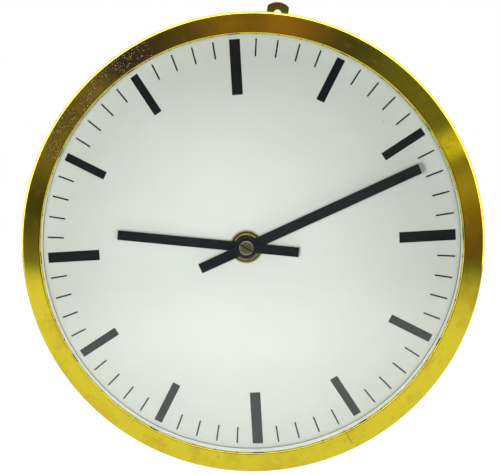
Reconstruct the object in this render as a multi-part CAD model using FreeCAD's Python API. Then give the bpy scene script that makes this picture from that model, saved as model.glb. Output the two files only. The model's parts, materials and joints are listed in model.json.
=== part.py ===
"""Ship's deck clock: a brass bulkhead clock with an impulse movement, one STEP file for each piece.

Row frame: +X to three o'clock, +Z to twelve o'clock, the front faces -Y, and the origin is the centre
of the bulkhead plane that the fixing lugs lie on.
Inside this file every piece is drawn in clock coordinates: x to three o'clock, y to twelve o'clock and
z forward, off the bulkhead. save() turns a piece into the row frame. Angles of hands, marks and lugs
are in degrees clockwise from twelve o'clock.
"""
import FreeCAD, Part
import math
import os
from FreeCAD import Vector

# ---- driving dimensions, mm ----
# case and bezel
CASE_R = 106.5
WALL = 1.2
CASE_BACK_Z = 2.0
CASE_FRONT_Z = 50.0
CASE_CORNER_R = 4.0
BEAD_Z = 42.2
BEAD_R = 1.1
BEZEL_R = 108.0
BEZEL_SKIRT_Z = 44.0
BEZEL_SHOULDER_Z = 57.5
BEZEL_SHOULDER_R = 2.4
BEZEL_LIP_R = 97.4
BEZEL_FRONT_Z = 61.0
BEZEL_LIP_ROUND = 0.5
BEZEL_GAP = 0.3

# dial, glass and what holds them
DIAL_Z = 45.0
DIAL_T = 1.0
DIAL_R = 104.6
DIAL_VISIBLE_R = 100.0
DIAL_FACE_Z = DIAL_Z + DIAL_T
INK_T = 0.06
GLASS_R = 100.4
GLASS_T = 2.0
GLASS_TOP_Z = 58.9
GLASS_Z = GLASS_TOP_Z - GLASS_T
GASKET_R = 102.2
SPACER_T = 1.0
SPACER_TOP_Z = GLASS_Z - 0.3
SUPPORT_INNER_R = 94.0
SUPPORT_Z = 42.0
DIAL_SCREW_PCD_R = 102.8
DIAL_SCREW_COUNT = 3

# dial marks
MARK_OUTER_R = 97.9
TICK_INNER_R = 89.75
TICK_W = 0.75
HOUR_BAR_INNER_R = 76.6
HOUR_BAR_W = 4.0
QUARTER_BAR_INNER_R = 72.1
QUARTER_BAR_W = 5.1

# fixing lugs
LUG_ANGLES = (11.0, 191.0)
LUG_W = 11.4
LUG_T = CASE_BACK_Z
LUG_INNER_R = 84.0
LUG_HOLE_PCD_R = 121.0
LUG_HOLE_R = 2.1
LUG_END = 5.7
LUG_TIP_R = 8.6
LUG_RIVET_RADII = (89.0, 97.0)
RIVET_R = 1.5
RIVET_HEAD_R = 2.8
RIVET_HEAD_H = 1.3

# hands
HAND_T = 0.8
MINUTE_ANGLE = 68.6
MINUTE_LENGTH = 87.0
MINUTE_TAIL = 24.0
MINUTE_W = 4.8
HOUR_ANGLE = 278.8
HOUR_LENGTH = 62.0
HOUR_TAIL = 24.8
HOUR_W = 4.6
HAND_EYE_R = 4.85
HOUR_HAND_Z = 50.6
MINUTE_HAND_Z = 52.8

# nested arbor, pipes and bush at the centre
ARBOR_R = 1.5
CANNON_R = 2.2
HOUR_PIPE_R = 3.2
BUSH_R = 5.0
RUNNING_GAP = 0.06
BUSH_TOP_Z = 49.5
NUT_R = 8.1
NUT_KNURLS = 40
NUT_Z = 46.3
NUT_RIM_H = 2.0
NUT_STEP_R = 6.2
NUT_TOP_Z = 49.5

# movement plates
PLATE_HALF_W = 24.0
PLATE_TOP_Y = 24.0
PLATE_BOTTOM_Y = -47.0
PLATE_CORNER_R = 4.0
PLATE_T = 2.0
BACK_PLATE_Z = 16.0
FRONT_PLATE_Z = 41.0
PILLAR_R = 3.0
PILLAR_PLACES = ((-20.0, 20.0), (20.0, 20.0), (-20.0, -43.0), (20.0, -43.0))
PIVOT_R = 0.5
PIVOT_GAP = 0.04
CENTRE_PIVOT_R = 1.0
PIVOT_DEPTH = 1.6
END_SHAKE = 0.3

# gears
TRAIN_MODULE = 0.5
HOUR_MODULE = 0.48
PRESSURE_ANGLE = 25.0
ADDENDUM = 0.8
DEDENDUM = 1.1
BACKLASH = 0.08
PINION_TEETH = 10
CENTRE_TEETH = 60
INTERMEDIATE_TEETH = 50
CANNON_TEETH = 12
MINUTE_WHEEL_TEETH = 36
HOUR_WHEEL_TEETH = 40
WHEEL_T = 1.5
CENTRE_WHEEL_Z = 31.0
INTERMEDIATE_WHEEL_Z = 26.0
MINUTE_WHEEL_Z = 35.7
HOUR_WHEEL_Z = 38.5
CANNON_Z = 34.9
TRAIN_ARBOR_R = 0.9
STUD_R = 0.9
CENTRE_DISTANCE = TRAIN_MODULE * (CENTRE_TEETH + PINION_TEETH) / 2.0
ROTOR_DISTANCE = TRAIN_MODULE * (INTERMEDIATE_TEETH + PINION_TEETH) / 2.0
MOTION_DISTANCE = TRAIN_MODULE * (CANNON_TEETH + MINUTE_WHEEL_TEETH) / 2.0
INTERMEDIATE_Y = -CENTRE_DISTANCE
ROTOR_Y = -CENTRE_DISTANCE - ROTOR_DISTANCE

# impulse motor
ROTOR_R = 8.5
ROTOR_HUB_R = 2.2
ROTOR_Z = 19.0
ROTOR_T = 4.0
AIR_GAP = 0.6
POLE_Z = 19.5
POLE_T = 3.0
POLE_HALF_W = 16.0
POLE_TOP_Y = -22.0
POLE_WAIST_Y = -44.0
POLE_BOTTOM_Y = -60.0
POLE_SPLIT = 1.5
LEG_INNER_X = 10.0
STATOR_SCREW_PLACES = ((-13.0, -41.0), (13.0, -41.0))
COIL_Y = -55.0
CORE_H = 5.0
CORE_T = 3.5
CORE_Z = POLE_Z + POLE_T
COIL_Z = CORE_Z + CORE_T / 2.0
CORE_SCREW_X = 13.0
BOBBIN_HALF_L = 9.5
BOBBIN_FLANGE_T = 1.2
BOBBIN_HALF_H = 6.7
BOBBIN_WALL = 0.8
WINDING_R = 6.0
LEAD_R = 0.8
LEAD_X = 7.0
LEAD_BEND_R = 6.0

# terminal block and cable entry
BLOCK_Y = -78.0
BLOCK_W = 30.0
BLOCK_H = 13.0
BLOCK_T = 10.0
BLOCK_SCREW_Y = -75.0
LEAD_HOLE_DEPTH = 3.0
GROMMET_X = -30.0
GROMMET_Y = -64.0
GROMMET_BORE_R = 3.2
GROMMET_HOLE_R = 5.0
GROMMET_RIM_R = 7.0
GROMMET_RIM_T = 1.3

CASE_INNER_R = CASE_R - WALL
CASE_FLOOR_Z = CASE_BACK_Z + WALL
FORWARD = Vector(0, 0, 1)


# ---- drawing helpers ----
def polar(radius, clock_angle, z=0.0):
    """Point at a radius and a clock angle, in clock coordinates."""
    turn = math.radians(clock_angle)
    return Vector(radius * math.sin(turn), radius * math.cos(turn), z)


def disc(radius, z0, z1, x=0.0, y=0.0):
    """Cylinder along the clock's axis between two heights."""
    return Part.makeCylinder(radius, z1 - z0, Vector(x, y, z0), FORWARD)


def tube(outer, inner, z0, z1, x=0.0, y=0.0):
    """Ring between two radii and two heights."""
    return disc(outer, z0, z1, x, y).cut(disc(inner, z0, z1, x, y))


def block(x0, x1, y0, y1, z0, z1):
    """Rectangular solid between two corners."""
    return Part.makeBox(x1 - x0, y1 - y0, z1 - z0, Vector(x0, y0, z0))


def line(a, b):
    """Straight edge."""
    return Part.LineSegment(a, b).toShape()


def arc(a, middle, b):
    """Arc edge through three points."""
    return Part.Arc(a, middle, b).toShape()


def polygon_edges(points):
    """Straight edges joining points in order, left open."""
    return [line(a, b) for a, b in zip(points, points[1:])]


def lathe(edges):
    """Solid turned about the clock's axis from a closed profile drawn in the x-z plane."""
    face = Part.Face(Part.Wire(edges))
    return face.revolve(Vector(0, 0, 0), FORWARD, 360)


def prism(edges, z0, z1):
    """Straight solid between two heights from a closed outline in the x-y plane."""
    face = Part.Face(Part.Wire(edges))
    solid = face.extrude(Vector(0, 0, z1 - z0))
    solid.translate(Vector(0, 0, z0))
    return solid


def rounded_plate(x0, x1, y0, y1, radius, z0, z1):
    """Rectangular plate with rounded corners."""
    plate = block(x0, x1, y0, y1, z0, z1)
    upright = [e for e in plate.Edges if abs(e.Vertexes[0].Z - e.Vertexes[1].Z) > 0.5 * (z1 - z0)]
    return plate.makeFillet(radius, upright)


def clock_turned(shape, clock_angle):
    """Copy of a shape turned clockwise about the clock's axis."""
    turned = shape.copy()
    turned.rotate(Vector(0, 0, 0), FORWARD, -clock_angle)
    return turned


def moved(shape, x, y, z=0.0):
    """Copy of a shape, shifted."""
    copy = shape.copy()
    copy.translate(Vector(x, y, z))
    return copy


def screw(head_r, head_h, shank_r, shank_len, slot_w, slot_depth, slot_angle=0.0):
    """Slotted cheese-head screw: the head's underside is at z=0 and the shank goes to -z."""
    chamfer = 0.18 * head_h
    head = disc(head_r, 0, head_h)
    rim = [e for e in head.Edges if abs(e.BoundBox.ZMin - head_h) < 1e-6 and abs(e.BoundBox.ZMax - head_h) < 1e-6]
    head = head.makeChamfer(chamfer, rim)
    slot = block(-head_r, head_r, -slot_w / 2, slot_w / 2, head_h - slot_depth, head_h)
    slot = clock_turned(slot, slot_angle)
    return head.fuse(disc(shank_r, -shank_len, 0)).cut(slot)


def facing_back(shape, z):
    """Copy of a piece turned over to point backwards, its z=0 plane put at height z."""
    turned = shape.copy()
    turned.rotate(Vector(0, 0, 0), Vector(1, 0, 0), 180)
    turned.translate(Vector(0, 0, z))
    return turned


def gear(teeth, module, z0, z1, bore_r, tooth_direction, x=0.0, y=0.0):
    """Spur gear with involute flanks; tooth_direction is the heading of one tooth, degrees from +x."""
    pitch_r = module * teeth / 2.0
    base_r = pitch_r * math.cos(math.radians(PRESSURE_ANGLE))
    tip_r = pitch_r + ADDENDUM * module
    root_r = pitch_r - DEDENDUM * module
    inv_pitch = math.tan(math.radians(PRESSURE_ANGLE)) - math.radians(PRESSURE_ANGLE)
    half_tooth = (math.pi * module / 2.0 - BACKLASH / 2.0) / (2.0 * pitch_r)

    def flank_angle(radius):
        """Half angle of the tooth at a radius."""
        if radius <= base_r:
            return half_tooth + inv_pitch
        pressure = math.acos(base_r / radius)
        return half_tooth + inv_pitch - (math.tan(pressure) - pressure)

    def at(radius, angle):
        """Point of the outline."""
        return Vector(radius * math.cos(angle), radius * math.sin(angle), 0)

    start_r = max(base_r, root_r)
    flank_radii = [start_r + (tip_r - start_r) * step / 4.0 for step in range(5)]
    pitch_angle = 2.0 * math.pi / teeth
    edges = []
    for index in range(teeth):
        centre = math.radians(tooth_direction) + index * pitch_angle
        rising = [at(r, centre - flank_angle(r)) for r in flank_radii]
        falling = [at(r, centre + flank_angle(r)) for r in reversed(flank_radii)]
        foot = at(root_r, centre - flank_angle(root_r))
        heel = at(root_r, centre + flank_angle(root_r))
        next_foot = at(root_r, centre + pitch_angle - flank_angle(root_r))
        if base_r > root_r:
            edges.append(line(foot, rising[0]))
        edges.append(arc(rising[0], rising[1], rising[2]))
        edges.append(arc(rising[2], rising[3], rising[4]))
        edges.append(arc(rising[4], at(tip_r, centre), falling[0]))
        edges.append(arc(falling[0], falling[1], falling[2]))
        edges.append(arc(falling[2], falling[3], falling[4]))
        if base_r > root_r:
            edges.append(line(falling[4], heel))
        edges.append(arc(heel, at(root_r, centre + pitch_angle / 2.0), next_foot))
    blank = prism(edges, z0, z1).cut(disc(bore_r, z0, z1))
    return moved(blank, x, y)


def save(name, *shapes):
    """Turn solids into the row frame and write them as one STEP file."""
    solids = [solid for shape in shapes for solid in shape.Solids]
    piece = solids[0] if len(solids) == 1 else Part.makeCompound(solids)
    piece = piece.copy()
    piece.rotate(Vector(0, 0, 0), Vector(1, 0, 0), 90)
    piece.exportStep("parts/%s.step" % name)
    print(name, len(solids), "valid" if piece.isValid() else "NOT VALID", round(piece.Volume, 2))


# ---- case ----
def case_drum():
    """Spun case: flat back, rounded corner, straight wall with a swaged stop bead for the bezel."""
    bend = math.sqrt(0.5)
    inner_corner = CASE_CORNER_R - WALL
    oc = Vector(CASE_R - CASE_CORNER_R, 0, CASE_BACK_Z + CASE_CORNER_R)
    corner_mid = oc + Vector(CASE_CORNER_R * bend, 0, -CASE_CORNER_R * bend)
    inner_mid = oc + Vector(inner_corner * bend, 0, -inner_corner * bend)
    edges = [
        line(Vector(0, 0, CASE_BACK_Z), Vector(oc.x, 0, CASE_BACK_Z)),
        arc(Vector(oc.x, 0, CASE_BACK_Z), corner_mid, Vector(CASE_R, 0, oc.z)),
        line(Vector(CASE_R, 0, oc.z), Vector(CASE_R, 0, BEAD_Z - BEAD_R)),
        arc(Vector(CASE_R, 0, BEAD_Z - BEAD_R), Vector(CASE_R + BEAD_R, 0, BEAD_Z),
            Vector(CASE_R, 0, BEAD_Z + BEAD_R)),
        line(Vector(CASE_R, 0, BEAD_Z + BEAD_R), Vector(CASE_R, 0, CASE_FRONT_Z)),
        line(Vector(CASE_R, 0, CASE_FRONT_Z), Vector(CASE_INNER_R, 0, CASE_FRONT_Z)),
        line(Vector(CASE_INNER_R, 0, CASE_FRONT_Z), Vector(CASE_INNER_R, 0, oc.z)),
        arc(Vector(CASE_INNER_R, 0, oc.z), inner_mid, Vector(oc.x, 0, CASE_FLOOR_Z)),
        line(Vector(oc.x, 0, CASE_FLOOR_Z), Vector(0, 0, CASE_FLOOR_Z)),
        line(Vector(0, 0, CASE_FLOOR_Z), Vector(0, 0, CASE_BACK_Z)),
    ]
    drum = lathe(edges)
    holes = [disc(GROMMET_HOLE_R, CASE_BACK_Z, CASE_FLOOR_Z, GROMMET_X, GROMMET_Y)]
    holes.append(disc(RIVET_R, CASE_BACK_Z, CASE_FLOOR_Z, 0, BLOCK_SCREW_Y))
    for angle in LUG_ANGLES:
        for radius in LUG_RIVET_RADII:
            place = polar(radius, angle)
            holes.append(disc(RIVET_R, CASE_BACK_Z, CASE_FLOOR_Z, place.x, place.y))
    save("case_drum", drum.cut(Part.makeCompound(holes)))


def mounting_lugs():
    """Brass straps under the case back, each with a rounded end and one fixing hole."""
    half = LUG_W / 2.0
    tip_r = LUG_HOLE_PCD_R + LUG_END
    side_r = tip_r - LUG_TIP_R + math.sqrt(LUG_TIP_R ** 2 - half ** 2)
    edges = [
        line(Vector(-half, LUG_INNER_R, 0), Vector(half, LUG_INNER_R, 0)),
        line(Vector(half, LUG_INNER_R, 0), Vector(half, side_r, 0)),
        arc(Vector(half, side_r, 0), Vector(0, tip_r, 0), Vector(-half, side_r, 0)),
        line(Vector(-half, side_r, 0), Vector(-half, LUG_INNER_R, 0)),
    ]
    lug = prism(edges, 0, LUG_T).cut(disc(LUG_HOLE_R, 0, LUG_T, 0, LUG_HOLE_PCD_R))
    for radius in LUG_RIVET_RADII:
        lug = lug.cut(disc(RIVET_R, 0, LUG_T, 0, radius))
    save("mounting_lugs", *[clock_turned(lug, angle) for angle in LUG_ANGLES])


def lug_rivets():
    """Rivets flush at the bulkhead side, with domed heads inside the case."""
    dome_r = (RIVET_HEAD_R ** 2 + RIVET_HEAD_H ** 2) / (2.0 * RIVET_HEAD_H)
    dome = Part.makeSphere(dome_r, Vector(0, 0, CASE_FLOOR_Z + RIVET_HEAD_H - dome_r))
    dome = dome.common(disc(2 * dome_r, CASE_FLOOR_Z, CASE_FLOOR_Z + RIVET_HEAD_H + 1))
    rivet = disc(RIVET_R, 0, CASE_FLOOR_Z).fuse(dome)
    rivets = []
    for angle in LUG_ANGLES:
        for radius in LUG_RIVET_RADII:
            place = polar(radius, angle)
            rivets.append(moved(rivet, place.x, place.y))
    save("lug_rivets", *rivets)


def cable_grommet():
    """Rubber grommet that lines the cable hole in the case back."""
    low = CASE_BACK_Z - GROMMET_RIM_T
    high = CASE_FLOOR_Z + GROMMET_RIM_T
    profile = [
        Vector(GROMMET_BORE_R, 0, low), Vector(GROMMET_RIM_R - 0.5, 0, low),
        Vector(GROMMET_RIM_R, 0, low + 0.5), Vector(GROMMET_RIM_R, 0, CASE_BACK_Z),
        Vector(GROMMET_HOLE_R, 0, CASE_BACK_Z), Vector(GROMMET_HOLE_R, 0, CASE_FLOOR_Z),
        Vector(GROMMET_RIM_R, 0, CASE_FLOOR_Z), Vector(GROMMET_RIM_R, 0, high - 0.5),
        Vector(GROMMET_RIM_R - 0.5, 0, high), Vector(GROMMET_BORE_R, 0, high),
        Vector(GROMMET_BORE_R, 0, low),
    ]
    save("cable_grommet", moved(lathe(polygon_edges(profile)), GROMMET_X, GROMMET_Y))


def terminal_block():
    """Insulating block on the case back where the supply cable meets the coil leads."""
    top = CASE_FLOOR_Z + BLOCK_T
    body = rounded_plate(-BLOCK_W / 2, BLOCK_W / 2, BLOCK_Y - BLOCK_H / 2, BLOCK_Y + BLOCK_H / 2,
                         1.5, CASE_FLOOR_Z, top)
    for side in (-1, 1):
        body = body.cut(disc(LEAD_R, top - LEAD_HOLE_DEPTH, top, side * LEAD_X, BLOCK_Y))
        body = body.cut(disc(1.0, top - 4.0, top, side * (LEAD_X + 5.0), BLOCK_Y - 1.0))
    body = body.cut(disc(RIVET_R, CASE_FLOOR_Z, top, 0, BLOCK_SCREW_Y))
    save("terminal_block", body)
    clamp = screw(1.9, 1.2, 1.0, 4.0, 0.5, 0.6, 25)
    save("terminal_screws", *[moved(clamp, side * (LEAD_X + 5.0), BLOCK_Y - 1.0, top) for side in (-1, 1)])
    holder = screw(2.8, 1.6, RIVET_R, BLOCK_T + WALL, 0.7, 0.8, 60)
    save("block_screw", moved(holder, 0, BLOCK_SCREW_Y, top))


# ---- bezel and glass ----
def bezel_ring():
    """Push-fit bezel: skirt, rounded shoulder, sloped face and an inner lip turned in to the glass."""
    lip_corner = Vector(BEZEL_LIP_R + BEZEL_LIP_ROUND, 0, BEZEL_FRONT_Z)
    fall = (BEZEL_FRONT_Z - BEZEL_SHOULDER_Z) / (BEZEL_R - lip_corner.x)
    tilt = math.atan(fall)
    thick = WALL / math.cos(tilt)
    half = (math.pi / 2 - tilt) / 2
    cut_back = BEZEL_SHOULDER_R * math.tan(half)
    shoulder_low = Vector(BEZEL_R, 0, BEZEL_SHOULDER_Z - cut_back)
    slope_out = Vector(BEZEL_R - cut_back * math.cos(tilt), 0, BEZEL_SHOULDER_Z + cut_back * math.sin(tilt))
    shoulder_mid = shoulder_low + Vector(math.cos(half) - 1, 0, math.sin(half)) * BEZEL_SHOULDER_R
    lip_mid = Vector(BEZEL_LIP_R + BEZEL_LIP_ROUND * 0.29, 0, BEZEL_FRONT_Z - BEZEL_LIP_ROUND * 0.29)
    skirt_inner = CASE_R + BEZEL_GAP
    inside_fall_z = BEZEL_FRONT_Z - thick - fall * (skirt_inner - lip_corner.x)
    glass_meet_r = lip_corner.x + (BEZEL_FRONT_Z - thick - GLASS_TOP_Z) / fall
    outer = [
        line(Vector(skirt_inner, 0, BEZEL_SKIRT_Z), Vector(BEZEL_R, 0, BEZEL_SKIRT_Z)),
        line(Vector(BEZEL_R, 0, BEZEL_SKIRT_Z), shoulder_low),
        arc(shoulder_low, shoulder_mid, slope_out),
        line(slope_out, lip_corner),
        arc(lip_corner, lip_mid, Vector(BEZEL_LIP_R, 0, BEZEL_FRONT_Z - BEZEL_LIP_ROUND)),
    ]
    inner = polygon_edges([
        Vector(BEZEL_LIP_R, 0, BEZEL_FRONT_Z - BEZEL_LIP_ROUND),
        Vector(BEZEL_LIP_R, 0, GLASS_TOP_Z),
        Vector(glass_meet_r, 0, GLASS_TOP_Z),
        Vector(skirt_inner, 0, inside_fall_z),
        Vector(skirt_inner, 0, BEZEL_SKIRT_Z),
    ])
    ring = lathe(outer + inner)
    save("bezel_ring", ring)
    return ring


def glass_and_gasket(ring):
    """Flat glass behind the lip, and the rubber ring round its edge that seats it in the bezel."""
    save("glass", disc(GLASS_R, GLASS_Z, GLASS_TOP_Z))
    save("glass_gasket", tube(GASKET_R, GLASS_R, GLASS_Z, GLASS_TOP_Z).cut(ring))


# ---- dial ----
def dial():
    """Dial plate with its support ring, screws and spacer ring."""
    screw_angles = [60.0 + 360.0 / DIAL_SCREW_COUNT * i for i in range(DIAL_SCREW_COUNT)]
    places = [polar(DIAL_SCREW_PCD_R, angle) for angle in screw_angles]
    plate = tube(DIAL_R, BUSH_R, DIAL_Z, DIAL_FACE_Z)
    support = tube(CASE_INNER_R, SUPPORT_INNER_R, SUPPORT_Z, DIAL_Z)
    holder = screw(1.6, 0.9, 0.8, DIAL_T + 2.0, 0.4, 0.4, 20)
    for place in places:
        plate = plate.cut(disc(0.8, DIAL_Z, DIAL_FACE_Z, place.x, place.y))
        support = support.cut(disc(0.8, DIAL_Z - 2.0, DIAL_Z, place.x, place.y))
    save("dial_plate", plate)
    save("dial_support_ring", support)
    save("dial_screws", *[moved(holder, place.x, place.y, DIAL_FACE_Z) for place in places])
    save("spacer_ring", tube(DIAL_VISIBLE_R + SPACER_T, DIAL_VISIBLE_R, DIAL_FACE_Z, SPACER_TOP_Z))


def dial_printing():
    """Raised ink of the bar marks at the hours and the fine ticks at the other minutes."""
    marks = []
    for minute in range(60):
        if minute % 15 == 0:
            inner, width = QUARTER_BAR_INNER_R, QUARTER_BAR_W
        elif minute % 5 == 0:
            inner, width = HOUR_BAR_INNER_R, HOUR_BAR_W
        else:
            inner, width = TICK_INNER_R, TICK_W
        bar = block(-width / 2, width / 2, inner, MARK_OUTER_R, DIAL_FACE_Z, DIAL_FACE_Z + INK_T)
        marks.append(clock_turned(bar, 6.0 * minute))
    save("dial_printing", *marks)


# ---- hub and hands ----
def hub():
    """Threaded bush that clamps the movement to the dial, with its washer and knurled ring nut."""
    flange_r = 7.5
    plate_top = FRONT_PLATE_Z + PLATE_T
    bore = HOUR_PIPE_R + RUNNING_GAP
    bush = disc(BUSH_R, plate_top, BUSH_TOP_Z).fuse(disc(flange_r, plate_top, DIAL_Z))
    bush = bush.fuse(disc(BUSH_R, FRONT_PLATE_Z, plate_top)).cut(disc(bore, FRONT_PLATE_Z, BUSH_TOP_Z))
    save("centre_bush", bush)
    save("dial_washer", tube(7.6, BUSH_R, DIAL_FACE_Z, NUT_Z))
    rim_z = NUT_Z + NUT_RIM_H
    bevel = 0.5
    points = [
        Vector(BUSH_R, 0, NUT_Z), Vector(NUT_R - 0.3, 0, NUT_Z), Vector(NUT_R, 0, NUT_Z + 0.3),
        Vector(NUT_R, 0, rim_z - bevel), Vector(NUT_R - bevel, 0, rim_z), Vector(NUT_STEP_R, 0, rim_z),
        Vector(NUT_STEP_R, 0, NUT_TOP_Z - 0.3), Vector(NUT_STEP_R - 0.3, 0, NUT_TOP_Z),
        Vector(BUSH_R, 0, NUT_TOP_Z), Vector(BUSH_R, 0, NUT_Z),
    ]
    nut = lathe(polygon_edges(points))
    notch_r = 0.3
    notch = disc(notch_r, NUT_Z - 1, rim_z + 1, 0, NUT_R + 0.1)
    notches = [clock_turned(notch, 360.0 / NUT_KNURLS * i) for i in range(NUT_KNURLS)]
    save("dial_nut", nut.cut(Part.makeCompound(notches)))


def hand(length, tail, width, bore_r, z, angle):
    """Straight hand with square ends, a counter tail and a round eye."""
    blade = block(-width / 2, width / 2, -tail, length, z, z + HAND_T)
    shape = blade.fuse(disc(HAND_EYE_R, z, z + HAND_T)).removeSplitter()
    return clock_turned(shape.cut(disc(bore_r, z, z + HAND_T)), angle)


def hour_group():
    """Hour wheel, its pipe, the collet and the hour hand."""
    pipe_top = HOUR_HAND_Z + HAND_T + 0.4
    bore = CANNON_R + RUNNING_GAP
    save("hour_pipe", tube(HOUR_PIPE_R, bore, HOUR_WHEEL_Z, pipe_top))
    save("hour_wheel", gear(HOUR_WHEEL_TEETH, HOUR_MODULE, HOUR_WHEEL_Z, HOUR_WHEEL_Z + WHEEL_T,
                            HOUR_PIPE_R, 90.0))
    save("hour_hand_collet", tube(4.6, HOUR_PIPE_R, HOUR_HAND_Z - 0.7, HOUR_HAND_Z))
    save("hour_hand", hand(HOUR_LENGTH, HOUR_TAIL, HOUR_W, HOUR_PIPE_R, HOUR_HAND_Z, HOUR_ANGLE))


def minute_group():
    """Centre arbor and wheel, cannon pinion, minute hand with its boss, and the hand screw."""
    neck_r = 2.8
    boss_top = MINUTE_HAND_Z + HAND_T + 0.8
    cannon_top = boss_top - 0.4
    plate_inner = BACK_PLATE_Z + PLATE_T
    collar_r = 3.0
    collar_top = CENTRE_WHEEL_Z + WHEEL_T + 1.1
    screw_depth = 5.0
    screw_r = 0.8
    arbor = disc(ARBOR_R, plate_inner + END_SHAKE, cannon_top)
    arbor = arbor.fuse(disc(CENTRE_PIVOT_R, plate_inner - PIVOT_DEPTH, plate_inner + END_SHAKE))
    arbor = arbor.fuse(disc(collar_r, CENTRE_WHEEL_Z + WHEEL_T, collar_top))
    arbor = arbor.cut(disc(screw_r, boss_top - screw_depth, boss_top))
    save("centre_arbor", arbor)
    save("centre_wheel", gear(CENTRE_TEETH, TRAIN_MODULE, CENTRE_WHEEL_Z, CENTRE_WHEEL_Z + WHEEL_T,
                              ARBOR_R, 270.0))
    save("friction_washer", tube(3.4, ARBOR_R, collar_top, CANNON_Z))
    cannon = gear(CANNON_TEETH, TRAIN_MODULE, CANNON_Z, CANNON_Z + 3.1, ARBOR_R, 90.0)
    save("cannon_pinion", cannon.fuse(tube(CANNON_R, ARBOR_R, CANNON_Z, cannon_top)).removeSplitter())
    save("minute_hand", hand(MINUTE_LENGTH, MINUTE_TAIL, MINUTE_W, neck_r, MINUTE_HAND_Z, MINUTE_ANGLE))
    boss = disc(HAND_EYE_R - 0.2, MINUTE_HAND_Z + HAND_T, boss_top)
    boss = boss.fuse(disc(HAND_EYE_R, MINUTE_HAND_Z + HAND_T, boss_top - 0.2))
    boss = boss.fuse(disc(neck_r, MINUTE_HAND_Z - 0.6, boss_top - 0.2))
    boss = boss.cut(disc(CANNON_R, MINUTE_HAND_Z - 0.6, cannon_top)).cut(disc(screw_r, 0, boss_top))
    save("minute_hand_boss", boss)
    head = screw(3.35, 1.8, screw_r, screw_depth, 0.7, 0.9, 33.0)
    save("hand_screw", moved(head, 0, 0, boss_top))


# ---- movement ----
def train_arbor(y):
    """Plain arbor with a turned-down pivot at each end."""
    low = BACK_PLATE_Z + PLATE_T
    body = disc(TRAIN_ARBOR_R, low + END_SHAKE, FRONT_PLATE_Z - END_SHAKE, 0, y)
    return body.fuse(disc(PIVOT_R, low - PIVOT_DEPTH, FRONT_PLATE_Z + PIVOT_DEPTH, 0, y)).removeSplitter()


def motion_work():
    """Minute wheel and pinion on a stud, between the cannon pinion and the hour wheel."""
    y = MOTION_DISTANCE
    bore = STUD_R + 0.05
    top = HOUR_WHEEL_Z + WHEEL_T + 0.3
    wheel_top = MINUTE_WHEEL_Z + WHEEL_T
    pinion_r = bore + 0.6
    save("minute_wheel", gear(MINUTE_WHEEL_TEETH, TRAIN_MODULE, MINUTE_WHEEL_Z, wheel_top, pinion_r,
                              270.0 + 180.0 / MINUTE_WHEEL_TEETH, 0, y))
    pinion = gear(PINION_TEETH, HOUR_MODULE, wheel_top, top, bore, 270.0 + 180.0 / PINION_TEETH, 0, y)
    pinion = pinion.fuse(tube(pinion_r, bore, MINUTE_WHEEL_Z, wheel_top, 0, y)).removeSplitter()
    save("minute_pinion", pinion)
    stud_low = MINUTE_WHEEL_Z - 1.7
    save("minute_wheel_stud", disc(STUD_R, stud_low, FRONT_PLATE_Z + PLATE_T, 0, y))
    save("stud_clip", tube(2.2, STUD_R, stud_low + 0.5, stud_low + 1.2, 0, y))


def intermediate_group():
    """Intermediate arbor, wheel and pinion between the rotor and the centre wheel."""
    y = INTERMEDIATE_Y
    save("intermediate_arbor", train_arbor(y))
    save("intermediate_wheel", gear(INTERMEDIATE_TEETH, TRAIN_MODULE, INTERMEDIATE_WHEEL_Z,
                                    INTERMEDIATE_WHEEL_Z + WHEEL_T, TRAIN_ARBOR_R, 270.0, 0, y))
    save("intermediate_pinion", gear(PINION_TEETH, TRAIN_MODULE, CENTRE_WHEEL_Z - 0.5,
                                     CENTRE_WHEEL_Z + WHEEL_T + 0.5, TRAIN_ARBOR_R,
                                     90.0 + 180.0 / PINION_TEETH, 0, y))


def rotor_group():
    """Polarised rotor: arbor, brass hub, ring magnet and drive pinion."""
    y = ROTOR_Y
    save("rotor_arbor", train_arbor(y))
    save("rotor_hub", tube(ROTOR_HUB_R, TRAIN_ARBOR_R, ROTOR_Z, ROTOR_Z + ROTOR_T + 1.0, 0, y))
    save("rotor_magnet", tube(ROTOR_R, ROTOR_HUB_R, ROTOR_Z, ROTOR_Z + ROTOR_T, 0, y))
    save("rotor_pinion", gear(PINION_TEETH, TRAIN_MODULE, INTERMEDIATE_WHEEL_Z - 0.5,
                              INTERMEDIATE_WHEEL_Z + WHEEL_T + 0.5, TRAIN_ARBOR_R,
                              90.0 + 180.0 / PINION_TEETH, 0, y))


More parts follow.
